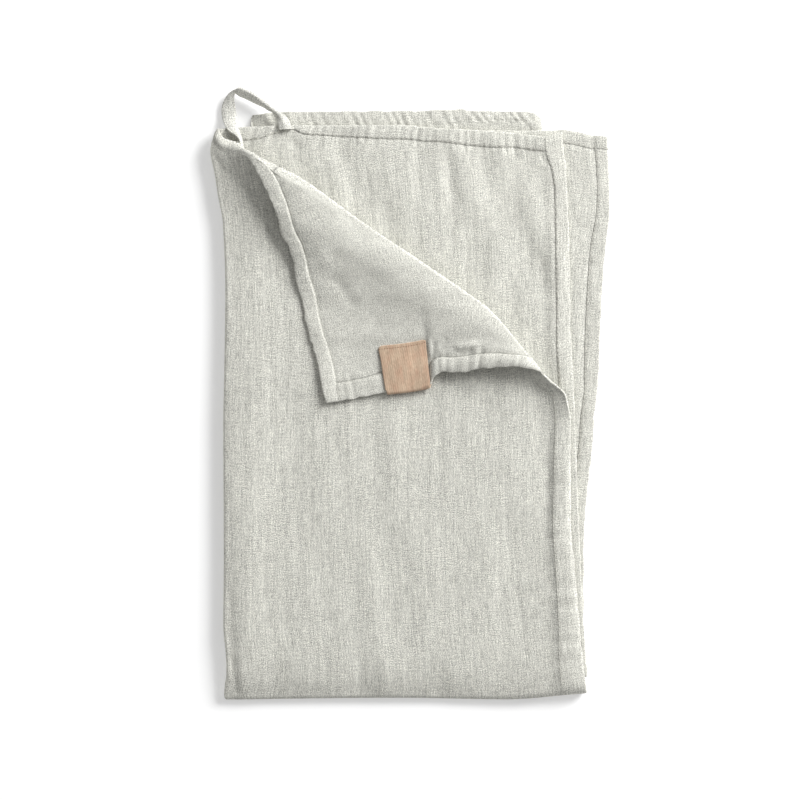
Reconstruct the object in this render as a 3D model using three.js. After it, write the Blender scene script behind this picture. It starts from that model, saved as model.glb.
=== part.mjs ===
// A linen tea towel folded in four, with one corner of its top layer turned over,
// a hanging loop of tape and a sewn label. Millimetres, +Z up, lying on the plane z = 0.
//
// The cloth is one hemmed rectangle. It is folded lengthwise, with the fold on the left (-X),
// and then crosswise, with the fold at the bottom (-Y). That gives four layers, named from the
// top down: front, second, third and back. The front and second layers join at the left fold,
// and so do the third and back ones. The front and back layers join round the outside of the
// bottom fold, and the second and third ones round its inside.
import * as THREE from 'three';

// Driving dimensions
const CLOTH_WIDTH = 450;
const CLOTH_LENGTH = 700;
const CLOTH_THICKNESS = 1.0;
const HEM_WIDTH = 9.5;
const HEM_STEP = 1.2;
const HEM_EXTRA = 0.8;
const SEWING_GAP = 0.35;
const TAPE_THICKNESS = 1.1;
const LABEL_THICKNESS = 0.8;
const LABEL_HEIGHT = 28;
const LABEL_BACK_HEIGHT = 20;
const PLACE = { x: -0.12, y: 0.34 };

// Heights of the middle of each layer, away from the folds
const LEVEL = { back: 0.5, third: 3.5, second: 5.5, front: 8.5 };
// The soft folds on the left lift the layers above them, beside their sharp turn
const LOWER_SWELL = 0.5;
const UPPER_SWELL = 1.0;
const FOLD_RADIUS = 1.9;
// How far the inner layers stop short of the bottom fold
const INNER_FOLD_SET_BACK = 10;

// Outlines, as x and y from the middle of the folded towel
const LEFT_FOLD_UPPER = [
  { y: 161, x: -117.2, swell: 0 },
  { y: 158.3, x: -119, swell: 0 },
  { y: 146.7, x: -121.4, swell: 0 },
  { y: 134.5, x: -119, swell: 0.05 },
  { y: 119.3, x: -116.6, swell: 0.3 },
  { y: 104.1, x: -113.8, swell: 0.5 },
  { y: 61.5, x: -112.3, swell: 0.8 },
  { y: 14.6, x: -112.9, swell: 1 },
  { y: -16.4, x: -113.5, swell: 1 },
  { y: -101.7, x: -113.2, swell: 1 },
  { y: -144.3, x: -113.5, swell: 0.9 },
  { y: -161.3, x: -111.7, swell: 0.7 },
  { y: -176.5, x: -111.6, swell: 0.5 },
  { y: -181.5, x: -113.4, swell: 0.4 },
  { y: -186.3, x: -113.9, swell: 0.4 },
];
const LEFT_FOLD_LOWER = [
  { y: 170, x: -97.1, swell: 1 },
  { y: 120, x: -98.5, swell: 1 },
  { y: -60, x: -108, swell: 1 },
  { y: -176.5, x: -111.4, swell: 0.6 },
  { y: -186.3, x: -113.6, swell: 0.5 },
];
// Share of a fold's swelling by the distance from its edge
const SWELLING = [
  { distance: 0, share: 0.2 },
  { distance: 4, share: 0.6 },
  { distance: 8, share: 1 },
  { distance: 13, share: 0.95 },
  { distance: 20, share: 0.48 },
  { distance: 30, share: 0.1 },
  { distance: 55, share: 0 },
];
// How far the front layer drops towards the bottom fold, by the distance up from it
const FRONT_DROOP = [
  { up: 0, drop: 4.4 },
  { up: 4, drop: 3 },
  { up: 8, drop: 1.8 },
  { up: 13, drop: 0.8 },
  { up: 20, drop: 0.2 },
  { up: 26, drop: 0 },
];
const SIDE_EDGE = {
  front: [
    { y: 12.5, x: 80 },
    { y: 11.4, x: 80.9 },
    { y: 6.6, x: 85.9 },
    { y: 2.6, x: 90.7 },
    { y: -0.6, x: 93.9 },
    { y: -6.1, x: 95.5 },
    { y: -12.6, x: 96.9 },
    { y: -18, x: 97.6 },
    { y: -77.3, x: 97.7 },
    { y: -106.5, x: 100.1 },
    { y: -135.7, x: 102.6 },
    { y: -155.2, x: 104.4 },
    { y: -175.9, x: 106.8 },
    { y: -182.2, x: 107.7 },
  ],
  second: [
    { y: 159.5, x: 92.2 },
    { y: 128.4, x: 95.3 },
    { y: 72.4, x: 97.1 },
    { y: 38.3, x: 97.5 },
    { y: 21.3, x: 98.6 },
    { y: -2.1, x: 99.7 },
    { y: -106.5, x: 103.8 },
    { y: -150.3, x: 106.2 },
    { y: -171.0, x: 107.7 },
  ],
  third: [
    { y: 156.4, x: 120.2 },
    { y: 132.1, x: 121.2 },
    { y: 115.6, x: 121.7 },
    { y: 82.2, x: 118.4 },
    { y: 54.2, x: 116.6 },
    { y: 7.3, x: 114.5 },
    { y: -16.1, x: 112.1 },
    { y: -29.2, x: 111.4 },
    { y: -65.1, x: 107.4 },
    { y: -92.5, x: 105.8 },
    { y: -141.2, x: 105.8 },
    { y: -171.0, x: 107.7 },
  ],
  back: [
    { y: 167.4, x: 80.0 },
    { y: 150.0, x: 82.0 },
    { y: 0.0, x: 92.0 },
    { y: -120.0, x: 100.0 },
    { y: -182.2, x: 107.7 },
  ],
};
// Where the front layer's side edge would run if its corner were not turned over
const FRONT_EDGE_BEFORE_TURN = 97.7;
const EDGE_CURL_FROM_SHARE = 0.8;

// Short end of each layer, by the share of the way from the left fold to the side edge
const TOP_EDGE = {
  front: [
    { share: 0, y: 161.0 },
    { share: 0.012, y: 157.4 },
    { share: 0.03, y: 154.6 },
    { share: 0.055, y: 152.0 },
    { share: 0.079, y: 148.5 },
    { share: 0.115, y: 146.4 },
    { share: 0.2, y: 146.6 },
    { share: 0.5, y: 156.0 },
    { share: 1, y: 160.0 },
  ],
  second: [
    { share: 0, y: 161.0 },
    { share: 0.057, y: 161.9 },
    { share: 0.215, y: 163.1 },
    { share: 0.53, y: 163.4 },
    { share: 0.617, y: 161.6 },
    { share: 0.706, y: 160.7 },
    { share: 0.84, y: 158.9 },
    { share: 0.952, y: 156.4 },
    { share: 1, y: 159.5 },
  ],
  third: [
    { share: 0, y: 162.5 },
    { share: 0.5, y: 160.5 },
    { share: 0.824, y: 160.1 },
    { share: 0.871, y: 160.7 },
    { share: 0.958, y: 157.4 },
    { share: 1, y: 156.4 },
  ],
  back: [
    { share: 0, y: 169.8 },
    { share: 0.1, y: 171.7 },
    { share: 0.58, y: 172.3 },
    { share: 0.71, y: 173.2 },
    { share: 0.773, y: 172.3 },
    { share: 0.93, y: 171.8 },
    { share: 0.975, y: 171.0 },
    { share: 1, y: 167.4 },
  ],
};
const BOTTOM_FOLD = [
  { share: 0, y: -186.3 },
  { share: 0.484, y: -185.0 },
  { share: 0.78, y: -186.3 },
  { share: 0.949, y: -183.2 },
  { share: 1, y: -182.2 },
];

// The turned corner: the ridge it turns over, and the two hemmed edges of the flap
const RIDGE = [
  { y: 148.5, x: -101.1 },
  { y: 146, x: -95.9 },
  { y: 143, x: -91 },
  { y: 132.1, x: -69.4 },
  { y: 107.4, x: -34.4 },
  { y: 88.4, x: -6.4 },
  { y: 63.3, x: 30.7 },
  { y: 52.3, x: 46 },
  { y: 25.8, x: 69.5 },
  { y: 19, x: 75.5 },
  { y: 12.5, x: 80 },
];
// The drop is how far the edge hangs below the plain fall from the crest
const FLAP_LEFT_EDGE = [
  { share: 0, x: -101.1, y: 148.5, drop: 0 },
  { share: 0.065, x: -96.8, y: 139.4, drop: 2.2 },
  { share: 0.224, x: -84.2, y: 113.8, drop: 1.9 },
  { share: 0.33, x: -78.8, y: 97.4, drop: 3.4 },
  { share: 0.44, x: -71.7, y: 80, drop: 4.9 },
  { share: 0.52, x: -70.1, y: 67.5, drop: 4.9 },
  { share: 0.6, x: -66.4, y: 55.5, drop: 4.3 },
  { share: 0.7, x: -63.4, y: 40.5, drop: 3.3 },
  { share: 0.83, x: -57.5, y: 20.7, drop: 1.8 },
  { share: 0.92, x: -54.8, y: 7.2, drop: 0.6 },
  { share: 1, x: -51.7, y: -6.4, drop: 0 },
];
const FLAP_BOTTOM_EDGE = [
  { share: 0, x: -51.7, y: -6.4, z: 11.3 },
  { share: 0.162, x: -30.1, y: -2.8, z: 11 },
  { share: 0.275, x: -15.1, y: 0.4, z: 11.2 },
  { share: 0.38, x: -1.5, y: 2, z: 11.3 },
  { share: 0.488, x: 12.7, y: 5, z: 11.5 },
  { share: 0.53, x: 16.5, y: 11.6, z: 13.4 },
  { share: 0.6, x: 25.4, y: 12.5, z: 14.4 },
  { share: 0.69, x: 37.6, y: 13.9, z: 16.2 },
  { share: 0.77, x: 48.6, y: 15.4, z: 17.6 },
  { share: 0.865, x: 61.8, y: 16.1, z: 18.6 },
  { share: 0.938, x: 71.5, y: 14.9, z: 18.4 },
  { share: 1, x: 80, y: 12.5, z: 16.5 },
];
// Heights at the ridge, by the share of the way down it: how far the front layer rises to the
// ridge, how much further the flap rises past it, over what width each of them bends, and how
// straight the front layer's rise is
const RIDGE_RISE = [
  { share: 0, panel: 9.2, flap: 2.8, panelWidth: 16, flapWidth: 8, straight: 0.5 },
  { share: 0.03, panel: 9.2, flap: 2.9, panelWidth: 20, flapWidth: 9, straight: 0.6 },
  { share: 0.07, panel: 9, flap: 3.1, panelWidth: 26, flapWidth: 10, straight: 0.6 },
  { share: 0.12, panel: 8.3, flap: 3.3, panelWidth: 27, flapWidth: 11, straight: 0.6 },
  { share: 0.19, panel: 7.6, flap: 3.5, panelWidth: 24, flapWidth: 11, straight: 0.4 },
  { share: 0.3, panel: 6.5, flap: 4, panelWidth: 14, flapWidth: 12, straight: 0 },
  { share: 0.5, panel: 6.5, flap: 5, panelWidth: 16, flapWidth: 12, straight: 0 },
  { share: 0.85, panel: 7.2, flap: 3.6, panelWidth: 16, flapWidth: 8, straight: 0 },
  { share: 1, panel: 8, flap: 0, panelWidth: 16, flapWidth: 1, straight: 0 },
];
// How the flap comes down from its crest to its edges
const FLAP_FALL = [
  { share: 0, fall: 0 },
  { share: 0.12, fall: 0.04 },
  { share: 0.35, fall: 0.3 },
  { share: 0.6, fall: 0.68 },
  { share: 0.8, fall: 0.92 },
  { share: 1, fall: 1 },
];
const RIDGE_START_SHARE = 0.079;
const RIDGE_END_DOWN = 0.438;
const CURL_END_DOWN = 0.565;

// The loop's tape, as three points across it at each station: its outer edge, the crest of its
// curved middle and its inner edge. It starts on the second layer's hem and ends under the
// front layer's hem.
const LOOP_STATIONS = [
  [[-72.2, 160.7, 8.05], [-76.1, 160.5, 8.9], [-80, 160.2, 8.3]],
  [[-72.9, 163.1, 8.2], [-76.9, 163.2, 9.05], [-80.7, 163.1, 8.15]],
  [[-74.4, 166.5, 7.75], [-78.2, 166.8, 8.75], [-81.6, 166.8, 6.85]],
  [[-76.5, 169.1, 7.6], [-80.5, 169.5, 8.7], [-83.1, 169.5, 5.8]],
  [[-79.4, 170.9, 8], [-82.8, 171.6, 8.7], [-84.6, 171.7, 5]],
  [[-82.4, 172.7, 8.6], [-84.9, 172.9, 8.9], [-86.4, 172.4, 4.4]],
  [[-87.7, 177.3, 9.2], [-88.6, 175.6, 9.3], [-88.9, 174.1, 3.4]],
  [[-91.6, 180.6, 9.2], [-91.6, 177.6, 9.7], [-92.2, 175.6, 2.8]],
  [[-95.9, 183.4, 9], [-95.9, 180.8, 8], [-96.5, 177.6, 3.2]],
  [[-100.5, 185, 8.2], [-100.5, 182.7, 6.2], [-100.6, 179.8, 3.2]],
  [[-104.4, 184.6, 7.1], [-104.9, 182.7, 5.3], [-105.4, 180.7, 3.4]],
  [[-106.8, 182, 6.1], [-108.2, 181.1, 4.9], [-109.6, 180.3, 3.7]],
  [[-107.3, 178.4, 5], [-110.2, 178.2, 4.4], [-113, 178, 3.8]],
  [[-106.8, 174.3, 3.4], [-110.9, 174.3, 3.6], [-115.1, 174.2, 3.2]],
  [[-106, 168.6, 4.9], [-110.5, 168.4, 5.2], [-114.9, 168.2, 4.8]],
  [[-105.6, 162.8, 7.8], [-109.2, 162.4, 8.2], [-112.7, 161.9, 8]],
  [[-104.1, 159.2, 8.3], [-107, 159.1, 9.2], [-109.8, 158.9, 9.4]],
  [[-103.3, 156.6, 8.3], [-105.1, 156.8, 9.4], [-106.9, 157, 10]],
  [[-102.6, 154, 8.2], [-103.7, 154.2, 9.3], [-104.7, 154.4, 10.4]],
  [[-102, 151, 8.1], [-103, 151.2, 9.1], [-103.9, 151.4, 10.2]],
  [[-101.5, 148.6, 8.1], [-102.4, 148.8, 8.9], [-103.2, 149, 10]],
];

// The label, by the share of the way along the flap's bottom edge
const LABEL_START_SHARE = 0.275;
const LABEL_END_SHARE = 0.488;

// How finely the faceted solids are cut
const ROWS_TO_LABEL = 4;
const ROWS_TO_RIDGE_END = 7;
const ROWS_TO_CURL_END = 4;
const ROWS_TO_DROOP = 6;
const DROOP_ROWS = [26, 18, 11, 6.5, 3];
const BACK_ROWS = 12;
const BEND_STEPS = 6;
const FOLD_STEPS = 5;
const PANEL_STEPS = 6;
const FLAP_STEPS = 7;
const INNER_STEPS = 8;
const FOLD_DISTANCES = [0, 4, 8, 14, 24, 40];
const PANEL_END_DISTANCES = [17, 10.7, 9.5, 6, 3, 1, 0];
const RIDGE_ROLL_DISTANCES = [0, 1, 3, 6.5, 11];
const LOOP_STEPS = 42;
const LABEL_ACROSS_STEPS = 4;
const LABEL_DOWN_STEPS = 6;
const LABEL_BEND_STEPS = 5;

const HALF_WIDTH = CLOTH_WIDTH / 2;
const HALF_LENGTH = CLOTH_LENGTH / 2;
const lerp = THREE.MathUtils.lerp;
const clamp = THREE.MathUtils.clamp;

// Reads a table as a smooth curve that never overshoots its rows: the column `want`,
// at the place `at` along the column `by`, which runs steadily up or down.
function read(table, by, at, want) {
  const rows = table[0][by] < table[table.length - 1][by] ? table : [...table].reverse();
  const last = rows.length - 1;
  if (at <= rows[0][by]) return rows[0][want];
  if (at >= rows[last][by]) return rows[last][want];
  const start = rows.findIndex((row, index) => at < rows[index + 1][by]);
  const slope = (index) => {
    const step = rows[index + 1][by] - rows[index][by];
    return (rows[index + 1][want] - rows[index][want]) / step;
  };
  const tangent = (index) => {
    if (index === 0) return slope(0);
    if (index === last) return slope(last - 1);
    const before = slope(index - 1);
    const after = slope(index);
    return before * after <= 0 ? 0 : (2 * before * after) / (before + after);
  };
  const span = rows[start + 1][by] - rows[start][by];
  const t = (at - rows[start][by]) / span;
  const rise = rows[start + 1][want] - rows[start][want];
  const ease = t * t * (3 - 2 * t);
  const leave = t * (1 - t) * (1 - t) * span * tangent(start);
  const arrive = t * t * (t - 1) * span * tangent(start + 1);
  return rows[start][want] + rise * ease + leave + arrive;
}

// How far a lengthwise fold's swelling lifts the layer above it
function swelling(fold, x, y) {
  const out = x - read(fold, 'y', y, 'x') - FOLD_RADIUS;
  return read(fold, 'y', y, 'swell') * read(SWELLING, 'distance', out, 'share');
}

function smoothStep(low, high, at) {
  return THREE.MathUtils.smoothstep(at, low, high);
}

// Share of the full rise at a distance from a ridge, where the cloth turns upright
function quarterTurn(distance, width) {
  const out = clamp(distance / width, 0, 1);
  return 1 - Math.sqrt(1 - (1 - out) ** 2);
}

// Height of the middle of a layer at a point, with the swelling of the folds beneath it
function layerHeight(layer, x, y) {
  if (layer === 'back') return LEVEL.back;
  const height = LEVEL[layer] + LOWER_SWELL * swelling(LEFT_FOLD_LOWER, x, y);
  if (layer !== 'front') return height;
  const beside = smoothStep(0.55, 0.9, x / HALF_WIDTH + 0.5);
  const fromFold = smoothStep(0, 30, x - read(LEFT_FOLD_UPPER, 'y', y, 'x'));
  const drop = read(FRONT_DROOP, 'up', y - BOTTOM_FOLD[0].y, 'drop');
  const droop = drop * lerp(1, 0.15, beside) * lerp(0.15, 1, fromFold);
  return height + UPPER_SWELL * swelling(LEFT_FOLD_UPPER, x, y) - droop;
}

function foldEdge(layer, y) {
  const table = layer === 'front' || layer === 'second' ? LEFT_FOLD_UPPER : LEFT_FOLD_LOWER;
  return read(table, 'y', y, 'x');
}

// Half the height between the outer layers, or the inner ones, where they turn at the bottom
function bendRadius(layer, x) {
  const outer = layer === 'front' || layer === 'back';
  const upper = outer ? 'front' : 'second';
  const lower = outer ? 'back' : 'third';
  const bottom = BOTTOM_FOLD[0].y;
  return (layerHeight(upper, x, bottom) - layerHeight(lower, x, bottom)) / 2;
}

// Where a layer stops running down the towel and starts to bend round the bottom fold
function bendStart(layer, share) {
  const outer = layer === 'front' || layer === 'back';
  const x = lerp(-HALF_WIDTH / 2, HALF_WIDTH / 2, share);
  const radius = bendRadius(layer, x);
  return read(BOTTOM_FOLD, 'share', share, 'y') + radius + (outer ? 0 : INNER_FOLD_SET_BACK);
}

// Plan position of a layer's point: `share` runs from the left fold to the side edge,
// and `down` from the short end, 0, to the bottom fold, 1
function planPoint(layer, share, down) {
  const y = lerp(read(TOP_EDGE[layer], 'share', share, 'y'), bendStart(layer, share), down);
  const inner = foldEdge(layer, y) + FOLD_RADIUS;
  if (layer !== 'front') {
    return { x: lerp(inner, read(SIDE_EDGE[layer], 'y', y, 'x'), share), y };
  }
  const edge = read(SIDE_EDGE.front, 'y', y, 'x');
  const wide = Math.max(edge, FRONT_EDGE_BEFORE_TURN);
  const curl = clamp((share - EDGE_CURL_FROM_SHARE) / (1 - EDGE_CURL_FROM_SHARE), 0, 1);
  return { x: lerp(inner, wide, share) - (wide - edge) * curl * curl, y };
}

// Share across the front layer at which a row meets the ridge of the turned corner
function ridgeShare(down) {
  if (down >= RIDGE_END_DOWN) return 1;
  let low = RIDGE_START_SHARE;
  let high = 1;
  for (let turn = 0; turn < 40; turn += 1) {
    const share = (low + high) / 2;
    const point = planPoint('front', share, down);
    const ridge = read(RIDGE, 'y', point.y, 'x');
    if (point.x < ridge) low = share;
    else high = share;
  }
  return (low + high) / 2;
}

function riseAt(down) {
  const share = clamp(down / RIDGE_END_DOWN, 0, 1);
  const left = clamp((CURL_END_DOWN - down) / (CURL_END_DOWN - RIDGE_END_DOWN), 0, 1);
  const fade = left * left * (3 - 2 * left);
  return {
    panel: read(RIDGE_RISE, 'share', share, 'panel') * fade,
    flap: read(RIDGE_RISE, 'share', share, 'flap'),
    panelWidth: read(RIDGE_RISE, 'share', share, 'panelWidth'),
    flapWidth: read(RIDGE_RISE, 'share', share, 'flapWidth'),
    straight: read(RIDGE_RISE, 'share', share, 'straight'),
  };
}

// A point of a layer's middle surface. The front layer rises to the ridge, or to its curled edge.
function layerPoint(layer, share, down) {
  const { x, y } = planPoint(layer, share, down);
  const height = layerHeight(layer, x, y);
  if (layer !== 'front' || down >= CURL_END_DOWN) return new THREE.Vector3(x, y, height);
  const end = planPoint('front', ridgeShare(down), down);
  const rise = riseAt(down);
  const away = Math.hypot(end.x - x, (end.y - y) * 0.3) * Math.sin(0.7);
  const line = clamp(1 - away / rise.panelWidth, 0, 1);
  const turn = lerp(quarterTurn(away, rise.panelWidth), line, rise.straight);
  return new THREE.Vector3(x, y, height + rise.panel * turn);
}

// A point of the flap's middle surface: `out` runs from the ridge, 0, to the flap's hemmed
// side edge, 1, along the same row of the cloth as `down`
function flapPoint(out, down) {
  const start = layerPoint('front', ridgeShare(down), down);
  const along = clamp(down / RIDGE_END_DOWN, 0, 1);
  const end = new THREE.Vector3(
    read(FLAP_BOTTOM_EDGE, 'share', along, 'x'),
    read(FLAP_BOTTOM_EDGE, 'share', along, 'y'),
    read(FLAP_BOTTOM_EDGE, 'share', along, 'z'),
  );
  const point = start.clone().lerp(end, out);
  const first = FLAP_LEFT_EDGE[0];
  const last = FLAP_LEFT_EDGE[FLAP_LEFT_EDGE.length - 1];
  const near = (1 - along) ** 3;
  point.x += near * (read(FLAP_LEFT_EDGE, 'share', out, 'x') - lerp(first.x, last.x, out));
  point.y += near * (read(FLAP_LEFT_EDGE, 'share', out, 'y') - lerp(first.y, last.y, out));
  const rise = riseAt(down);
  const away = Math.hypot(point.x - start.x, point.y - start.y) * Math.sin(0.7);
  const crest = start.z + rise.flap * (1 - quarterTurn(away, rise.flapWidth));
  point.z = lerp(crest, end.z, read(FLAP_FALL, 'share', out, 'fall'));
  point.z -= near * read(FLAP_LEFT_EDGE, 'share', out, 'drop');
  return point;
}

// A sheet of cloth as rows of points along its middle, joined into one skin
class Sheet {
  constructor() {
    this.points = [];
    this.extras = [];
    this.triangles = [];
  }

  add(point, extra) {
    this.points.push(point);
    this.extras.push(extra);
    return this.points.length - 1;
  }

  join(rowA, rowB) {
    for (let column = 0; column + 1 < rowA.length; column += 1) {
      const [a, b, c, d] = [rowA[column], rowA[column + 1], rowB[column + 1], rowB[column]];
      if (a !== b && b !== c && c !== a) this.triangles.push([a, b, c]);
      if (a !== c && c !== d && d !== a) this.triangles.push([a, c, d]);
    }
  }

  // Thickens the skin: half the thickness to the face side, and the other half with the
  // hem's extra to the reverse side, with a wall all along the free edges
  solid(thickness) {
    const normals = this.points.map(() => new THREE.Vector3());
    const edgeUses = new Map();
    for (const [a, b, c] of this.triangles) {
      const side = new THREE.Vector3().subVectors(this.points[b], this.points[a]);
      const across = new THREE.Vector3().subVectors(this.points[c], this.points[a]);
      side.cross(across);
      for (const corner of [a, b, c]) normals[corner].add(side);
      for (const [from, to] of [[a, b], [b, c], [c, a]]) edgeUses.set(`${from},${to}`, [from, to]);
    }
    const count = this.points.length;
    const positions = new Float32Array(count * 6);
    this.points.forEach((point, index) => {
      const normal = normals[index].normalize();
      const face = point.clone().addScaledVector(normal, thickness / 2);
      const reverse = point.clone().addScaledVector(normal, -(thickness / 2 + this.extras[index]));
      face.toArray(positions, index * 3);
      reverse.toArray(positions, (count + index) * 3);
    });
    const indices = [];
    for (const [a, b, c] of this.triangles) {
      indices.push(a, b, c);
      indices.push(count + a, count + c, count + b);
    }
    for (const [from, to] of edgeUses.values()) {
      if (edgeUses.has(`${to},${from}`)) continue;
      indices.push(from, count + from, count + to);
      indices.push(from, count + to, to);
    }
    const geometry = new THREE.BufferGeometry();
    geometry.setAttribute('position', new THREE.BufferAttribute(positions, 3));
    geometry.setIndex(indices);
    return geometry;
  }
}

// Extra thickness of the turned hem at distances from the cloth's side and short edges
function hemExtra(fromSide, fromEnd) {
  const distance = Math.min(fromSide, fromEnd);
  return HEM_EXTRA * clamp((HEM_WIDTH + HEM_STEP - distance) / HEM_STEP, 0, 1);
}

function evenShares(from, to, steps) {
  return Array.from({ length: steps + 1 }, (unused, index) => lerp(from, to, index / steps));
}

// Shares of the way down each half, with lines at the hem and at the ridge's end
function frontDowns() {
  const hem = HEM_WIDTH / HALF_LENGTH;
  const hemEnd = (HEM_WIDTH + HEM_STEP) / HALF_LENGTH;
  return [
    0,
    hem / 2,
    hem,
    ...evenShares(hemEnd, LABEL_START_SHARE * RIDGE_END_DOWN, ROWS_TO_LABEL),
    ...evenShares(LABEL_START_SHARE, LABEL_END_SHARE, LABEL_ACROSS_STEPS)
      .slice(1)
      .map((along) => along * RIDGE_END_DOWN),
    ...evenShares(LABEL_END_SHARE, 1, ROWS_TO_RIDGE_END)
      .slice(1)
      .map((along) => along * RIDGE_END_DOWN),
    ...evenShares(RIDGE_END_DOWN, CURL_END_DOWN, ROWS_TO_CURL_END).slice(1),
    ...evenShares(CURL_END_DOWN, 1 - DROOP_ROWS[0] / HALF_LENGTH, ROWS_TO_DROOP).slice(1),
    ...DROOP_ROWS.slice(1).map((up) => 1 - up / HALF_LENGTH),
    1,
  ];
}

function backDowns() {
  const hem = HEM_WIDTH / HALF_LENGTH;
  const hemEnd = (HEM_WIDTH + HEM_STEP) / HALF_LENGTH;
  return [0, hem / 2, hem, ...evenShares(hemEnd, 1, BACK_ROWS)];
}

// Shares across the front or back layer, from the left fold to the end of its row,
// closer together near the end
function outerShares(endShare, rowLength) {
  const closer = Math.min(1, rowLength / 100);
  const distances = PANEL_END_DISTANCES.map((distance) => distance * Math.min(1, rowLength / 60));
  const fold = FOLD_DISTANCES.map((distance) => (distance * closer) / rowLength);
  const lastEven = 1 - distances[0] / rowLength;
  const even = evenShares(fold[fold.length - 1], lastEven, PANEL_STEPS).slice(1);
  const close = distances.slice(1).map((distance) => 1 - distance / rowLength);
  return [...fold, ...even, ...close].map((share) => share * endShare);
}

// Shares across the second or third layer, from the left fold to the hemmed side
function innerShares() {
  const hem = 1 - HEM_WIDTH / HALF_WIDTH;
  const hemEnd = 1 - (HEM_WIDTH + HEM_STEP) / HALF_WIDTH;
  const fold = FOLD_DISTANCES.map((distance) => distance / HALF_WIDTH);
  return [...fold, ...evenShares(fold[fold.length - 1], hemEnd, INNER_STEPS).slice(1), hem, 1];
}

function flapShares(down) {
  const start = flapPoint(0, down);
  const length = start.distanceTo(flapPoint(1, down));
  const closer = Math.min(1, length / 50);
  const roll = RIDGE_ROLL_DISTANCES.map((distance) => (distance * closer) / length);
  const hemEnd = 1 - ((HEM_WIDTH + HEM_STEP) * closer) / length;
  const hem = 1 - (HEM_WIDTH * closer) / length;
  return [...roll, ...evenShares(roll[roll.length - 1], hemEnd, FLAP_STEPS).slice(1), hem, 1];
}

// One row of a half of the cloth, from the end of its outer layer round the left fold to the
// hemmed side of its inner layer
function rowPoints(outer, inner, down) {
  const endShare = outer === 'front' ? ridgeShare(down) : 1;
  const length = Math.abs(planPoint(outer, endShare, down).x - planPoint(outer, 0, down).x);
  const fromEnd = down * HALF_LENGTH;
  const entries = outerShares(endShare, length)
    .reverse()
    .map((share) => ({
      point: layerPoint(outer, share, down),
      extra: hemExtra((1 - share) * HALF_WIDTH, fromEnd),
    }));
  const top = entries[entries.length - 1].point;
  const bottom = layerPoint(inner, 0, down);
  for (let step = 1; step < FOLD_STEPS; step += 1) {
    const angle = (Math.PI * step) / FOLD_STEPS;
    const middle = top.clone().lerp(bottom, (1 - Math.cos(angle)) / 2);
    middle.x -= FOLD_RADIUS * Math.sin(angle);
    entries.push({ point: middle, extra: hemExtra(HALF_WIDTH, fromEnd) });
  }
  for (const share of innerShares()) {
    const extra = hemExtra((1 - share) * HALF_WIDTH, fromEnd);
    entries.push({ point: layerPoint(inner, share, down), extra });
  }
  return entries;
}

// The row bent round the bottom fold, part of the way from the last front row to the last back one
function bentRow(frontRow, backRow, turn) {
  const angle = Math.PI * turn;
  return frontRow.map((entry, index) => {
    const front = entry.point;
    const back = backRow[index].point;
    const radius = (front.z - back.z) / 2;
    const point = front.clone().lerp(back, (1 - Math.cos(angle)) / 2);
    point.y -= radius * Math.sin(angle);
    return { point, extra: entry.extra };
  });
}

function makeCloth() {
  const sheet = new Sheet();
  const place = (entries) => entries.map((entry) => sheet.add(entry.point, entry.extra));
  const frontRows = frontDowns().map((down) => rowPoints('front', 'second', down));
  const backRows = backDowns().map((down) => rowPoints('back', 'third', down));
  const lastFront = frontRows[frontRows.length - 1];
  const lastBack = backRows[backRows.length - 1];
  const placed = frontRows.map(place);
  for (let step = 1; step < BEND_STEPS; step += 1) {
    placed.push(place(bentRow(lastFront, lastBack, step / BEND_STEPS)));
  }
  placed.push(...backRows.reverse().map(place));
  for (let row = 0; row + 1 < placed.length; row += 1) sheet.join(placed[row], placed[row + 1]);

  let previous = null;
  frontDowns().forEach((down, row) => {
    if (down > RIDGE_END_DOWN + 1e-9) return;
    const ridge = placed[row][0];
    const atEnd = Math.abs(down - RIDGE_END_DOWN) < 1e-9;
    const shares = flapShares(atEnd ? down - 0.01 : down);
    const length = flapPoint(0, down).distanceTo(flapPoint(1, down));
    const flap = shares.map((out, index) => {
      if (index === 0 || atEnd) return ridge;
      const extra = hemExtra((1 - out) * length, down * HALF_LENGTH);
      return sheet.add(flapPoint(out, down), extra);
    });
    if (previous) sheet.join(flap, previous);
    previous = flap;
  });
  return sheet.solid(CLOTH_THICKNESS);
}

// The direction out of the flap's upper, reverse side
function flapNormal(out, down) {
  const step = 0.004;
  const along = flapPoint(out + step, down).sub(flapPoint(out - step, down));
  const across = flapPoint(out, down + step).sub(flapPoint(out, down - step));
  const normal = along.cross(across).normalize();
  return normal.z < 0 ? normal.negate() : normal;
}

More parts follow.
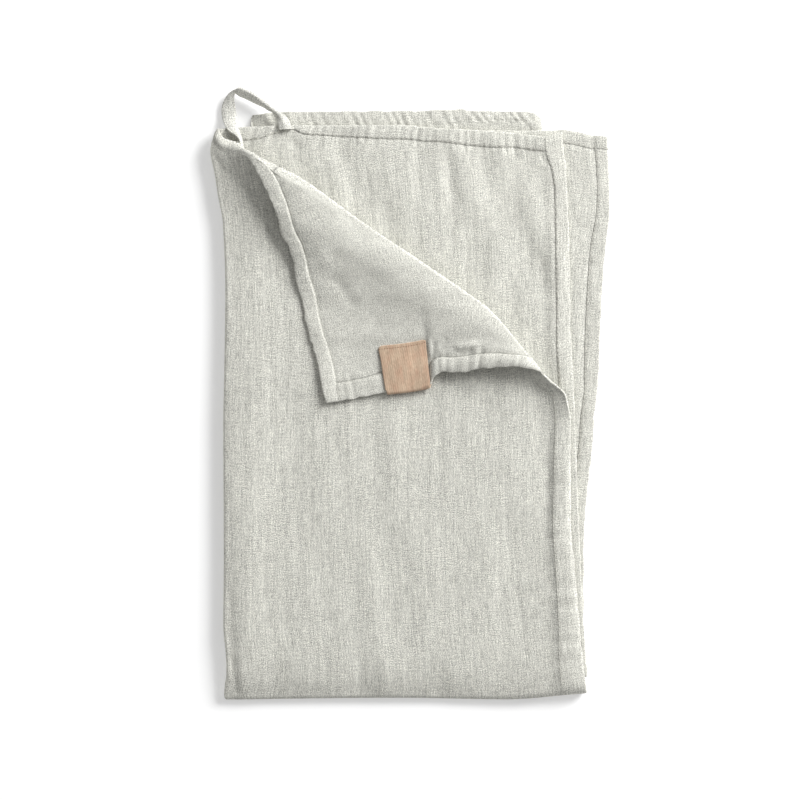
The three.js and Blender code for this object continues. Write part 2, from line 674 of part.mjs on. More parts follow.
// The label, folded round the flap's side hem: its front on the flap, its back behind it
function makeLabel() {
  const sheet = new Sheet();
  const clear = SEWING_GAP + LABEL_THICKNESS / 2;
  const above = CLOTH_THICKNESS / 2 + HEM_EXTRA + clear;
  const below = CLOTH_THICKNESS / 2 + clear;
  let previous = null;
  for (const along of evenShares(LABEL_START_SHARE, LABEL_END_SHARE, LABEL_ACROSS_STEPS)) {
    const down = along * RIDGE_END_DOWN;
    const length = flapPoint(0, down).distanceTo(flapPoint(1, down));
    const normal = flapNormal(1 - LABEL_HEIGHT / length / 2, down);
    const edge = flapPoint(1, down);
    const inward = flapPoint(1 - LABEL_HEIGHT / length, down).sub(edge).normalize();
    const row = [];
    for (const away of evenShares(LABEL_HEIGHT, 0, LABEL_DOWN_STEPS)) {
      const point = flapPoint(1 - away / length, down).addScaledVector(normal, above);
      row.push(sheet.add(point, 0));
    }
    const radius = (above + below) / 2;
    const centre = edge.clone().addScaledVector(normal, (above - below) / 2);
    for (let step = 1; step < LABEL_BEND_STEPS; step += 1) {
      const angle = (Math.PI * step) / LABEL_BEND_STEPS;
      const point = centre.clone().addScaledVector(normal, radius * Math.cos(angle));
      row.push(sheet.add(point.addScaledVector(inward, -radius * Math.sin(angle)), 0));
    }
    for (const away of evenShares(0, LABEL_BACK_HEIGHT, LABEL_DOWN_STEPS)) {
      const point = flapPoint(1 - away / length, down).addScaledVector(normal, -below);
      row.push(sheet.add(point, 0));
    }
    if (previous) sheet.join(row, previous);
    previous = row;
  }
  return sheet.solid(LABEL_THICKNESS);
}

// The loop's tape, swept through its stations
function makeLoop() {
  const lines = [0, 1, 2].map((side) => {
    const points = LOOP_STATIONS.map((station) => new THREE.Vector3(...station[side]));
    return new THREE.CatmullRomCurve3(points);
  });
  const sheet = new Sheet();
  let previous = null;
  for (const at of evenShares(0, 1, LOOP_STEPS)) {
    const row = lines.map((line) => sheet.add(line.getPoint(at), 0));
    if (previous) sheet.join(row, previous);
    previous = row;
  }
  return sheet.solid(TAPE_THICKNESS);
}

function linen(colour, roughness) {
  return new THREE.MeshStandardMaterial({ color: colour, roughness, metalness: 0 });
}

function piece(name, geometry, material) {
  const mesh = new THREE.Mesh(geometry, material);
  mesh.name = name;
  return mesh;
}

const towel = new THREE.Group();
towel.position.set(PLACE.x, PLACE.y, 0);
towel.add(piece('towel_cloth', makeCloth(), linen(0xd9dad2, 0.92)));
towel.add(piece('hanging_loop', makeLoop(), linen(0xd6d7cf, 0.92)));
towel.add(piece('sewn_label', makeLabel(), linen(0xc8a98a, 0.85)));

export default towel;
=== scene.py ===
"""A folded linen tea towel with a turned corner, a hanging loop and a sewn label."""

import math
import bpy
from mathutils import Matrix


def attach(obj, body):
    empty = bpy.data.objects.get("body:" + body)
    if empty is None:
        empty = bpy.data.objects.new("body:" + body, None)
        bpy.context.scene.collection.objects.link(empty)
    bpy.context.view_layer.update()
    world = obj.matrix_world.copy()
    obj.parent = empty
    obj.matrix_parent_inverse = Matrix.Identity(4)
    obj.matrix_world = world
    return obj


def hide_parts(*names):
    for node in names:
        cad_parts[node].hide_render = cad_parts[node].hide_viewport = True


bl_info = {
    "name": "Folded tea towel",
    "version": (1, 0, 0),
    "blender": (4, 5, 0),
    "location": "3D View > Sidebar > Tea towel",
    "description": "Makes a folded linen tea towel, its loop, label, stitching and stage",
    "category": "Object",
}

import bpy
import numpy as np
from bpy.props import FloatProperty, FloatVectorProperty, IntProperty, PointerProperty
from mathutils import Vector
from mathutils.geometry import delaunay_2d_cdt

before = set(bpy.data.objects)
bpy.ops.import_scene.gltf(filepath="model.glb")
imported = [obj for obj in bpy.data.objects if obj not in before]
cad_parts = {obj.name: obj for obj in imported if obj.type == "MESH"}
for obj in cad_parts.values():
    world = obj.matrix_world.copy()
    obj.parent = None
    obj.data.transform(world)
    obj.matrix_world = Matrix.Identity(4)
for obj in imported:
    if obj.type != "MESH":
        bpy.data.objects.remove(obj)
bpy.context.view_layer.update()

# The maker's sizes below are in millimetres, and the finished meshes are in metres
MM = 0.001
PLACE = (-0.12, 0.34)

# The cut cloth: s runs across it from -225 to 225, and t along it from 0 to 700.
# It folds lengthwise at s = 0 and then crosswise at t = 350. The front layer is s < 0 and the
# second one s > 0 in the first half, and the back layer s < 0 and the third one s > 0 in the other.
HALF_WIDTH = 225.0
HALF_LENGTH = 350.0
FOLD_ARC = 4.0
BEND_ARC = 6.0
ROW_REACH = HALF_LENGTH - BEND_ARC

LEVEL = {"back": 0.5, "third": 3.5, "second": 5.5, "front": 8.5}
LOWER_SWELL = 0.5
UPPER_SWELL = 1.0
FOLD_RADIUS = 1.0
INNER_FOLD_SET_BACK = 10.0
FRONT_EDGE_BEFORE_TURN = 97.7
EDGE_CURL_FROM_SHARE = 0.8
RIDGE_START_SHARE = 0.02
RIDGE_END_DOWN = 0.438
CURL_END_DOWN = 0.565
EVEN_FROM_DOWN = 0.04
RISE_BEARING = math.sin(0.7)

# The stitch line of a hem is at 9.5 on a scale that runs from 0 at the cloth's edge
STITCH_LINE = 9.5
HEM_LINES = (0, 0.12, 0.35, 0.8, 2, 3.6, 5.4, 7.2, 8.5, 9.15, 9.5, 9.85, 10.5, 11.8, 13.75)
CLOTH_STEP = 1.25

# Widths of a yarn of the linen and of a rib of the label's weave
YARN = 0.62
LABEL_RIB = 1.3

# Points nearer than this to a sheet's edge are its rim
RIM = 0.01

# The hems are measured in this many places, over this width of the cut cloth
HEM_READINGS = 90
HEM_PROBE = 8.0


def table(columns, *rows):
    """A table as one array for each named column, in rising order of the first column."""
    ordered = np.array(sorted(rows), float)
    return {name: ordered[:, index] for index, name in enumerate(columns.split())}


def read(rows, at, want):
    """The column `want` as a smooth curve that never overshoots its rows."""
    keys = next(iter(rows.values()))
    values = rows[want]
    spans = np.diff(keys)
    slopes = np.diff(values) / spans
    tangents = np.concatenate([slopes[:1], np.zeros(len(slopes) - 1), slopes[-1:]])
    product = slopes[:-1] * slopes[1:]
    total = slopes[:-1] + slopes[1:]
    steady = product > 0
    tangents[1:-1][steady] = 2 * product[steady] / total[steady]
    at = np.clip(at, keys[0], keys[-1])
    row = np.clip(np.searchsorted(keys, at, side="right") - 1, 0, len(spans) - 1)
    share = (at - keys[row]) / spans[row]
    ease = share * share * (3 - 2 * share)
    leave = share * (1 - share) ** 2 * spans[row] * tangents[row]
    arrive = share * share * (share - 1) * spans[row] * tangents[row + 1]
    return values[row] + (values[row + 1] - values[row]) * ease + leave + arrive


LEFT_FOLD_UPPER = table(
    "y x swell",
    (161.0, -117.2, 0), (158.3, -119.0, 0), (146.7, -121.4, 0), (134.5, -119.0, 0.05),
    (119.3, -116.6, 0.3), (104.1, -113.8, 0.5), (61.5, -112.3, 0.8), (14.6, -112.9, 1),
    (-16.4, -113.5, 1), (-101.7, -113.2, 1), (-144.3, -113.5, 0.9), (-161.3, -111.7, 0.7),
    (-176.5, -111.6, 0.5), (-181.5, -113.4, 0.4), (-186.3, -113.9, 0.4),
)
LEFT_FOLD_LOWER = table(
    "y x swell",
    (170.0, -97.1, 1), (120.0, -98.5, 1), (-60.0, -108.0, 1), (-176.5, -111.4, 0.6),
    (-186.3, -113.6, 0.5),
)
# Share of a fold's swelling by the distance from its edge
SWELLING = table(
    "distance share",
    (0, 0.2), (4, 0.6), (8, 1), (13, 0.95), (20, 0.48), (30, 0.1), (55, 0),
)
# How far the front layer drops towards the bottom fold, by the distance up from it
FRONT_DROOP = table(
    "up drop", (0, 4.4), (4, 3.0), (8, 1.8), (13, 0.8), (20, 0.2), (26, 0),
)
SIDE_EDGE = {
    "front": table(
        "y x",
        (12.5, 80.0), (11.4, 80.9), (6.6, 85.9), (2.6, 90.7), (-0.6, 93.9), (-6.1, 95.5),
        (-12.6, 96.9), (-18.0, 97.6),
        (-77.3, 97.7), (-106.5, 100.1), (-135.7, 102.6), (-155.2, 104.4), (-175.9, 106.8),
        (-182.2, 107.7),
    ),
    "second": table(
        "y x",
        (159.5, 92.2), (128.4, 95.3), (72.4, 97.1), (38.3, 97.5), (21.3, 98.6), (-2.1, 99.7),
        (-106.5, 103.8), (-150.3, 106.2), (-171.0, 107.7),
    ),
    "third": table(
        "y x",
        (156.4, 120.2), (132.1, 121.2), (115.6, 121.7), (82.2, 118.4), (54.2, 116.6),
        (7.3, 114.5), (-16.1, 112.1), (-29.2, 111.4), (-65.1, 107.4), (-92.5, 105.8),
        (-141.2, 105.8), (-171.0, 107.7),
    ),
    "back": table(
        "y x", (167.4, 80.0), (150.0, 82.0), (0.0, 92.0), (-120.0, 100.0), (-182.2, 107.7)
    ),
}
TOP_EDGE = {
    "front": table(
        "share y",
        (0, 161.0), (0.012, 157.4), (0.03, 154.6), (0.06, 153.8), (0.1, 153.0), (0.2, 152.5),
        (0.5, 156.0), (1, 160.0),
    ),
    "second": table(
        "share y",
        (0, 161.0), (0.057, 161.9), (0.215, 163.1), (0.53, 163.4), (0.617, 161.6),
        (0.706, 160.7), (0.84, 158.9), (0.952, 156.4), (1, 159.5),
    ),
    "third": table(
        "share y",
        (0, 162.5), (0.5, 160.5), (0.824, 160.1), (0.871, 160.7), (0.958, 157.4), (1, 156.4),
    ),
    "back": table(
        "share y",
        (0, 169.8), (0.1, 171.7), (0.58, 172.3), (0.71, 173.2), (0.773, 172.3), (0.93, 171.8),
        (0.975, 171.0), (1, 167.4),
    ),
}
BOTTOM_FOLD = table(
    "share y", (0, -186.3), (0.484, -185.0), (0.78, -186.3), (0.949, -183.2), (1, -182.2)
)
RIDGE = table(
    "y x",
    (154.6, -112.3), (153.6, -109.1), (152.6, -104.8), (151.0, -103.2), (148.3, -101.2),
    (146.0, -95.9), (143.0, -91.0), (132.1, -69.4), (107.4, -34.4), (88.4, -6.4),
    (63.3, 30.7), (52.3, 46.0), (25.8, 69.5), (19.0, 75.5), (12.5, 80.0),
)
FLAP_LEFT_EDGE = table(
    "share x y drop",
    (0, -112.3, 154.6, 0), (0.039, -109.3, 149.1, 0.2), (0.068, -105.6, 146.3, 0.5),
    (0.096, -101.5, 144.3, 0.8), (0.121, -98.0, 141.8, 1.1), (0.137, -96.8, 139.4, 1.2),
    (0.284, -84.2, 113.8, 0.6), (0.382, -78.8, 97.4, 2.6), (0.483, -71.7, 80.0, 4.3),
    (0.506, -71.3, 76.0, 4.5), (0.553, -70.1, 67.5, 4.4), (0.603, -67.6, 60.2, 4.2),
    (0.631, -66.4, 55.5, 4.1), (0.668, -65.3, 49.9, 3.7), (0.723, -63.4, 40.5, 3.0),
    (0.779, -60.9, 31.4, 2.5), (0.843, -57.5, 20.7, 1.6), (0.92, -54.8, 7.2, 0.55),
    (1, -51.7, -6.4, 0),
)
FLAP_BOTTOM_EDGE = table(
    "share x y z",
    (0, -51.7, -6.4, 11.3), (0.162, -30.1, -2.8, 10.8), (0.275, -15.1, 0.4, 11.0),
    (0.38, -1.5, 2.0, 11.2), (0.47, 10.4, 4.2, 11.2), (0.488, 12.7, 5.4, 11.4),
    (0.502, 13.6, 8.4, 12.4), (0.52, 15.4, 11.4, 13.4), (0.55, 19.0, 12.6, 13.8),
    (0.60, 25.4, 12.5, 14.4), (0.64, 31.0, 12.7, 15.2), (0.69, 37.6, 13.9, 16.2),
    (0.77, 48.6, 15.4, 17.6), (0.865, 61.8, 16.1, 18.6), (0.938, 71.5, 14.9, 18.4),
    (1, 80.0, 12.5, 16.5),
)
RIDGE_RISE = table(
    "share panel flap panel_width flap_width straight",
    (0, 0.8, 0.3, 9, 3, 1), (0.0075, 3.0, 0.5, 11, 4, 1), (0.017, 5.0, 0.8, 12, 5, 1),
    (0.034, 8.4, 1.1, 14, 7, 1), (0.05, 10.4, 1.4, 16, 9, 1), (0.069, 10.2, 1.6, 20, 11, 1),
    (0.115, 9.6, 2.4, 26, 14, 1), (0.158, 8.6, 3.0, 27, 17, 0.9), (0.22, 7.8, 3.2, 24, 19, 0.4),
    (0.32, 6.5, 3.6, 14, 22, 0), (0.5, 6.5, 4.0, 16, 24, 0),
    (0.85, 7.2, 3.0, 16, 16, 0), (1, 8.0, 0, 16, 1, 0),
)
# The flap's tip, a narrow band along the ridge: for a share out along the flap's left edge,
# how far down the cloth the ridge is across the band from it
TIP_BAND = table(
    "out down",
    (0, 0), (0.03, 0.0017), (0.05, 0.003), (0.07, 0.0058), (0.085, 0.0116), (0.1, 0.0174),
    (0.121, 0.022), (0.16, 0.03),
)
TIP_END_OUT = 0.16
FLAP_FALL = table("share fall", (0, 0), (0.12, 0.04), (0.35, 0.3), (0.6, 0.68), (0.8, 0.92), (1, 1))

# Real distance from the cloth's edge to the stitch line, along each side hem by the way down
# from its short end, and along each short hem by the share from the lengthwise fold
SIDE_HEM = {
    "front": table(
        "down width",
        (0, 10.5), (30, 10.5), (42, 11.5), (60, 10.5), (75, 9.0), (88, 8.6), (100, 9.0),
        (116, 8.4), (130, 6.9), (150, 7.6), (165, 8.5), (190, 9.5), (252, 11), (302, 12.5),
        (325, 14.2), (350, 15),
    ),
    "second": table(
        "down width",
        (0, 10.4), (9, 11.2), (21, 8.8), (35, 7.6), (51, 8.0), (79, 8.3), (118, 8.3),
        (135, 8.8), (350, 9.2),
    ),
    "third": table(
        "down width",
        (0, 7.4), (8, 7.6), (30, 7.2), (52, 7.9), (74, 8.9), (125, 8.9), (150, 8.5),
        (165, 7.6), (180, 8.0), (350, 9),
    ),
    "back": table("down width", (0, 9), (300, 9), (350, 13)),
}
END_HEM = {
    "front": table(
        "share width",
        (0, 8.9), (0.2, 8.6), (0.38, 7.8), (0.5, 7.8), (0.6, 8.6), (0.7, 8.2), (0.85, 8.4),
        (1, 8.9),
    ),
    "second": table(
        "share width",
        (0, 8.3), (0.096, 8.2), (0.128, 7.6), (0.156, 5.3), (0.19, 3.6), (0.216, 2.3),
        (0.238, 4.2), (0.26, 5.4), (0.309, 6.1), (0.46, 7.9), (0.522, 8.3), (0.658, 7.9), (0.711, 8.9),
        (0.794, 9.4), (0.882, 8.5), (1, 9.1),
    ),
    "third": table("share width", (0, 8.5), (0.876, 7.9), (0.933, 8.2), (0.967, 7.7), (1, 7.3)),
    "back": table("share width", (0, 8.5), (0.7, 8.5), (0.75, 5.2), (0.78, 4.8), (1, 4.8)),
}

# Creases and soft ridges: where each runs in plan, how far it lifts the cloth, and its width
CREASES = {
    "front": (
        (-55.0, -6.0, -55.5, -60.0, -0.5, 0.9),
        (-55.5, -60.0, -55.6, -120.0, -0.45, 1.1),
        (-57.4, -10.0, -57.9, -118.0, 0.22, 1.4),
        (12.3, -153.5, 15.6, -186.0, -0.45, 0.9),
        (14.6, -153.5, 17.8, -186.0, 0.2, 1.2),
        (-110.3, -118.4, -107.6, -161.0, -0.6, 1.3),
        (-107.6, -161.0, -105.0, -184.7, -1.1, 1.3),
        (-105.4, -155.0, -102.6, -184.7, 0.5, 1.3),
        (-94.0, 60.0, -92.0, -150.0, 0.3, 6.0),
        (-36.0, -60.0, -30.0, -180.0, -0.3, 7.0),
        (20.0, -20.0, 24.0, -110.0, -0.25, 6.0),
        (60.0, -40.0, 58.0, -160.0, -0.25, 6.0),
    ),
    "second": (
        (-30.3, 156.0, -30.3, 96.0, 0.5, 1.0),
        (3.8, 150.0, 4.4, 87.0, -0.7, 0.9),
        (30.6, 108.0, 30.6, 63.0, 0.6, 1.1),
        (32.8, 108.0, 32.8, 63.0, -0.4, 1.0),
        (22.1, 148.0, 27.0, 114.8, -1.0, 3.4),
        (14.0, 150.0, 17.0, 120.0, 0.5, 4.0),
        (34.0, 148.0, 40.0, 112.0, 0.6, 5.0),
        (42.2, 130.0, 42.2, 84.0, 0.4, 1.3),
        (78.7, 84.0, 81.1, 62.0, -0.8, 2.6),
        (-77.7, 159.0, -67.4, 148.0, -0.7, 1.4),
        (78.7, 147.0, 83.0, 139.0, -0.7, 1.3),
        (55.0, 105.0, 52.5, 92.0, -0.5, 2.0),
        (-56.0, 150.0, -48.0, 118.0, -0.5, 3.0),
        (62.0, 140.0, 64.0, 80.0, -0.35, 1.2),
        (-14.0, 150.0, -12.0, 108.0, 0.4, 1.4),
    ),
    "flap": (
        (-47.9, 71.5, -33.3, 52.0, -0.6, 3.2),
        (-56.0, 92.0, -50.0, 76.0, 0.4, 3.0),
        (-18.0, 38.0, -27.0, 52.0, -0.25, 2.0),
        (11.2, 33.8, 12.4, 22.0, 0.8, 1.1),
        (14.4, 31.0, 13.4, 18.5, -0.9, 1.2),
        (17.5, 27.0, 22.0, 33.5, -0.5, 2.0),
        (27.5, 27.2, 40.0, 30.6, 1.1, 1.9),
        (29.0, 23.6, 38.0, 25.8, -1.1, 1.3),
        (43.0, 32.6, 50.0, 35.2, -0.35, 1.8),
        (19.0, 23.5, 29.0, 24.5, 0.3, 1.6),
    ),
    "third": (
        (108.3, 139.0, 108.3, 118.0, 0.3, 1.4),
        (97.0, 144.0, 99.5, 129.0, -0.3, 2.4),
        (100.0, 108.0, 102.6, 100.0, -0.3, 2.0),
    ),
    "back": ((-8.0, 171.0, -9.0, 160.0, -0.3, 1.2),),
}


def smooth_step(low, high, at):
    share = np.clip((at - low) / (high - low), 0, 1)
    return share * share * (3 - 2 * share)


def lerp(start, end, share):
    return start + (end - start) * share


def bell(distance, width):
    return np.exp(-((distance / width) ** 2))


def quarter_turn(distance, width):
    """Share of the full rise at a distance from a ridge, where the cloth turns upright."""
    out = np.clip(distance / width, 0, 1)
    return 1 - np.sqrt(1 - (1 - out) ** 2)


def swelling(fold, x, y):
    """How far a lengthwise fold's swelling lifts the layer above it."""
    out = x - read(fold, y, "x") - FOLD_RADIUS
    return read(fold, y, "swell") * read(SWELLING, out, "share")


def fold_of(layer):
    return LEFT_FOLD_UPPER if layer in ("front", "second") else LEFT_FOLD_LOWER


def layer_height(layer, x, y):
    """Height of the middle of a layer, with the swelling of the folds beneath it."""
    if layer == "back":
        return np.full_like(x, LEVEL["back"])
    height = LEVEL[layer] + LOWER_SWELL * swelling(LEFT_FOLD_LOWER, x, y)
    if layer == "front":
        height = height + UPPER_SWELL * swelling(LEFT_FOLD_UPPER, x, y)
        beside = smooth_step(0.55, 0.9, x / HALF_WIDTH + 0.5)
        height = height - lerp(1, 0.45, beside) * read(FRONT_DROOP, y + 186.3, "drop")
    return height


def bend_start(layer, share):
    """Where a layer stops running down the towel and starts to bend round the bottom fold."""
    outer = layer in ("front", "back")
    x = lerp(-HALF_WIDTH / 2, HALF_WIDTH / 2, share)
    bottom = np.full_like(x, read(BOTTOM_FOLD, 0.0, "y"))
    upper = layer_height("front" if outer else "second", x, bottom)
    lower = layer_height("back" if outer else "third", x, bottom)
    set_back = 0 if outer else INNER_FOLD_SET_BACK
    return read(BOTTOM_FOLD, share, "y") + (upper - lower) / 2 + set_back


def plan_point(layer, share, down):
    """Plan position: share from the left fold to the side edge, down from the short end."""
    y = lerp(read(TOP_EDGE[layer], share, "y"), bend_start(layer, share), down)
    inner = read(fold_of(layer), y, "x") + FOLD_RADIUS
    edge = read(SIDE_EDGE[layer], y, "x")
    if layer != "front":
        return lerp(inner, edge, share), y
    wide = np.maximum(edge, FRONT_EDGE_BEFORE_TURN)
    curl = np.clip((share - EDGE_CURL_FROM_SHARE) / (1 - EDGE_CURL_FROM_SHARE), 0, 1)
    return lerp(inner, wide, share) - (wide - edge) * curl * curl, y


def find_ridge_shares():
    """Share across the front layer at which each row meets the ridge, for evenly spaced rows."""
    downs = np.linspace(-0.01, RIDGE_END_DOWN, 300)
    low = np.full_like(downs, RIDGE_START_SHARE)
    high = np.ones_like(downs)
    for _ in range(30):
        share = (low + high) / 2
        x, y = plan_point("front", share, downs)
        inside = x < read(RIDGE, y, "x")
        low = np.where(inside, share, low)
        high = np.where(inside, high, share)
    return downs, (low + high) / 2


RIDGE_ROWS = find_ridge_shares()


def ridge_share(down):
    return np.where(down >= RIDGE_END_DOWN, 1.0, np.interp(down, *RIDGE_ROWS))


def rise_at(down, want):
    return read(RIDGE_RISE, np.clip(down / RIDGE_END_DOWN, 0, 1), want)


def front_rise(share, down):
    """How far the front layer stands up towards the ridge, or towards its curled edge."""
    x, y = plan_point("front", share, down)
    end_x, end_y = plan_point("front", ridge_share(down), down)
    left = np.clip((CURL_END_DOWN - down) / (CURL_END_DOWN - RIDGE_END_DOWN), 0, 1)
    rise = rise_at(down, "panel") * left * left * (3 - 2 * left)
    away = np.hypot(end_x - x, (end_y - y) * 0.3) * RISE_BEARING
    width = rise_at(down, "panel_width")
    straight = np.clip(1 - away / width, 0, 1)
    return rise * lerp(quarter_turn(away, width), straight, rise_at(down, "straight"))


def layer_point(layer, share, down):
    """Middle of a layer. The front layer stands up towards the ridge and its curled edge."""
    x, y = plan_point(layer, share, down)
    height = layer_height(layer, x, y)
    if layer == "front":
        height = height + front_rise(share, down)
    return np.stack([x, y, height], axis=-1)


def ridge_point(down):
    return layer_point("front", ridge_share(down), down)


def flap_point(out, down):
    """Middle of the flap: out from the ridge, 0, to its hemmed side edge, 1."""
    out = np.asarray(out, float)
    down = np.asarray(down, float)
    start = ridge_point(down)
    along = np.clip(down / RIDGE_END_DOWN, 0, 1)
    end = np.stack([read(FLAP_BOTTOM_EDGE, along, axis) for axis in "xyz"], axis=-1)
    point = start + (end - start) * out[..., None]
    near = (1 - along) ** 3
    for axis, name in enumerate("xy"):
        edge = FLAP_LEFT_EDGE[name]
        point[..., axis] += near * (read(FLAP_LEFT_EDGE, out, name) - lerp(edge[0], edge[-1], out))
    away = np.hypot(*(point - start)[..., :2].T).T * RISE_BEARING

    # Past the ridge the first rows lie evenly, whatever turns the ridge takes
    first = ridge_point(np.array(0.0))
    last = ridge_point(np.array(EVEN_FROM_DOWN))
    even = lerp(first, last, np.clip(down / EVEN_FROM_DOWN, 0, 1)[..., None])
    settled = smooth_step(0, 0.1, out) * (1 - out) * (down < EVEN_FROM_DOWN)
    point[..., :2] += settled[..., None] * (even - start)[..., :2]

    # In the tip they share out the width of its band between them
    reached = np.interp(down, TIP_BAND["down"], TIP_BAND["out"])
    reached = out + reached * np.clip(1 - out / TIP_END_OUT, 0, 1)
    across = np.interp(reached, TIP_BAND["out"], TIP_BAND["down"])
    edge = np.stack([read(FLAP_LEFT_EDGE, reached, axis) for axis in "xy"], axis=-1)
    share = np.clip(down / np.maximum(across, 1e-6), 0, 1)[..., None]
    band = lerp(edge, ridge_point(across)[..., :2], share)
    plain = np.maximum(smooth_step(0.06, TIP_END_OUT, out), smooth_step(0.016, 0.03, down))
    point[..., :2] = lerp(band, point[..., :2], plain[..., None])

    slope = 1 - np.clip(1 - away / rise_at(down, "flap_width"), 0, 1) ** 2
    turn = 0.06 * (1 - quarter_turn(away, 0.8)) + 0.94 * slope
    high = np.maximum(down, across)
    crest = ridge_point(high)[..., 2] + rise_at(high, "flap") * turn
    point[..., 2] = lerp(crest, end[..., 2], read(FLAP_FALL, out, "fall"))
    point[..., 2] -= near * read(FLAP_LEFT_EDGE, out, "drop")
    return point


def half_row(outer, inner, s, down):
    """A point of one half of the cloth, from the outer layer round the left fold to the inner."""
    share = (np.abs(s) - FOLD_ARC) / (HALF_WIDTH - FOLD_ARC)
    point = np.zeros((len(s), 3))
    for layer, mine in ((outer, s <= -FOLD_ARC), (inner, s >= FOLD_ARC)):
        point[mine] = layer_point(layer, share[mine], down[mine])
    if outer == "front":
        turned = (s < -FOLD_ARC) & (share > ridge_share(down)) & (down < RIDGE_END_DOWN)
        ridge = ridge_share(down[turned])
        point[turned] = flap_point((share[turned] - ridge) / (1 - ridge), down[turned])
    folded = np.abs(s) < FOLD_ARC
    top = layer_point(outer, np.zeros(folded.sum()), down[folded])
    bottom = layer_point(inner, np.zeros(folded.sum()), down[folded])
    angle = math.pi * (s[folded] + FOLD_ARC) / (2 * FOLD_ARC)
    turn = top + (bottom - top) * ((1 - np.cos(angle)) / 2)[:, None]
    turn[:, 0] -= FOLD_RADIUS * np.sin(angle)
    point[folded] = turn
    return point


def cloth_point(s, t):
    """Middle of the folded cloth at a place of the cut cloth."""
    front_half = half_row("front", "second", s, np.minimum(t / ROW_REACH, 1))
    back_half = half_row("back", "third", s, np.minimum((2 * HALF_LENGTH - t) / ROW_REACH, 1))
    angle = math.pi * np.clip((t - ROW_REACH) / (2 * BEND_ARC), 0, 1)
    point = front_half + (back_half - front_half) * ((1 - np.cos(angle)) / 2)[:, None]
    point[:, 1] -= (front_half - back_half)[:, 2] / 2 * np.sin(angle)
    return point


def layer_names(s, t):
    first = t <= HALF_LENGTH
    return np.where(s < 0, np.where(first, "front", "back"), np.where(first, "second", "third"))


def down_of(t):
    return np.minimum(t, 2 * HALF_LENGTH - t)


def share_of(s):
    return np.clip((np.abs(s) - FOLD_ARC) / (HALF_WIDTH - FOLD_ARC), 0, 1)


def soft_waves(across, along, seed, spans, count=7):
    """A sum of slow waves between -1 and 1: wave lengths across and along from the spans."""
    chance = np.random.default_rng(seed)
    total = np.zeros_like(across)
    for _ in range(count):
        length_across = chance.uniform(*spans[0])
        length_along = chance.uniform(*spans[1]) * chance.choice((-1, 1))
        phase = chance.uniform(0, 2 * math.pi)
        total += np.sin(2 * math.pi * (across / length_across + along / length_along) + phase)
    return total / math.sqrt(2 * count)


def crease_lift(rows, x, y):
    """Lift of the creases at points in plan: each fades out over the last part of its length."""
    lift = np.zeros_like(x)
    for x0, y0, x1, y1, height, width in rows:
        run = np.array([x1 - x0, y1 - y0])
        length = np.hypot(*run)
        along = ((x - x0) * run[0] + (y - y0) * run[1]) / length
        aside = ((x - x0) * run[1] - (y - y0) * run[0]) / length
        fade = smooth_step(-0.15 * length, 0.2 * length, along)
        fade = fade * smooth_step(-0.15 * length, 0.2 * length, length - along)
        lift += height * fade * bell(aside, width)
    return lift


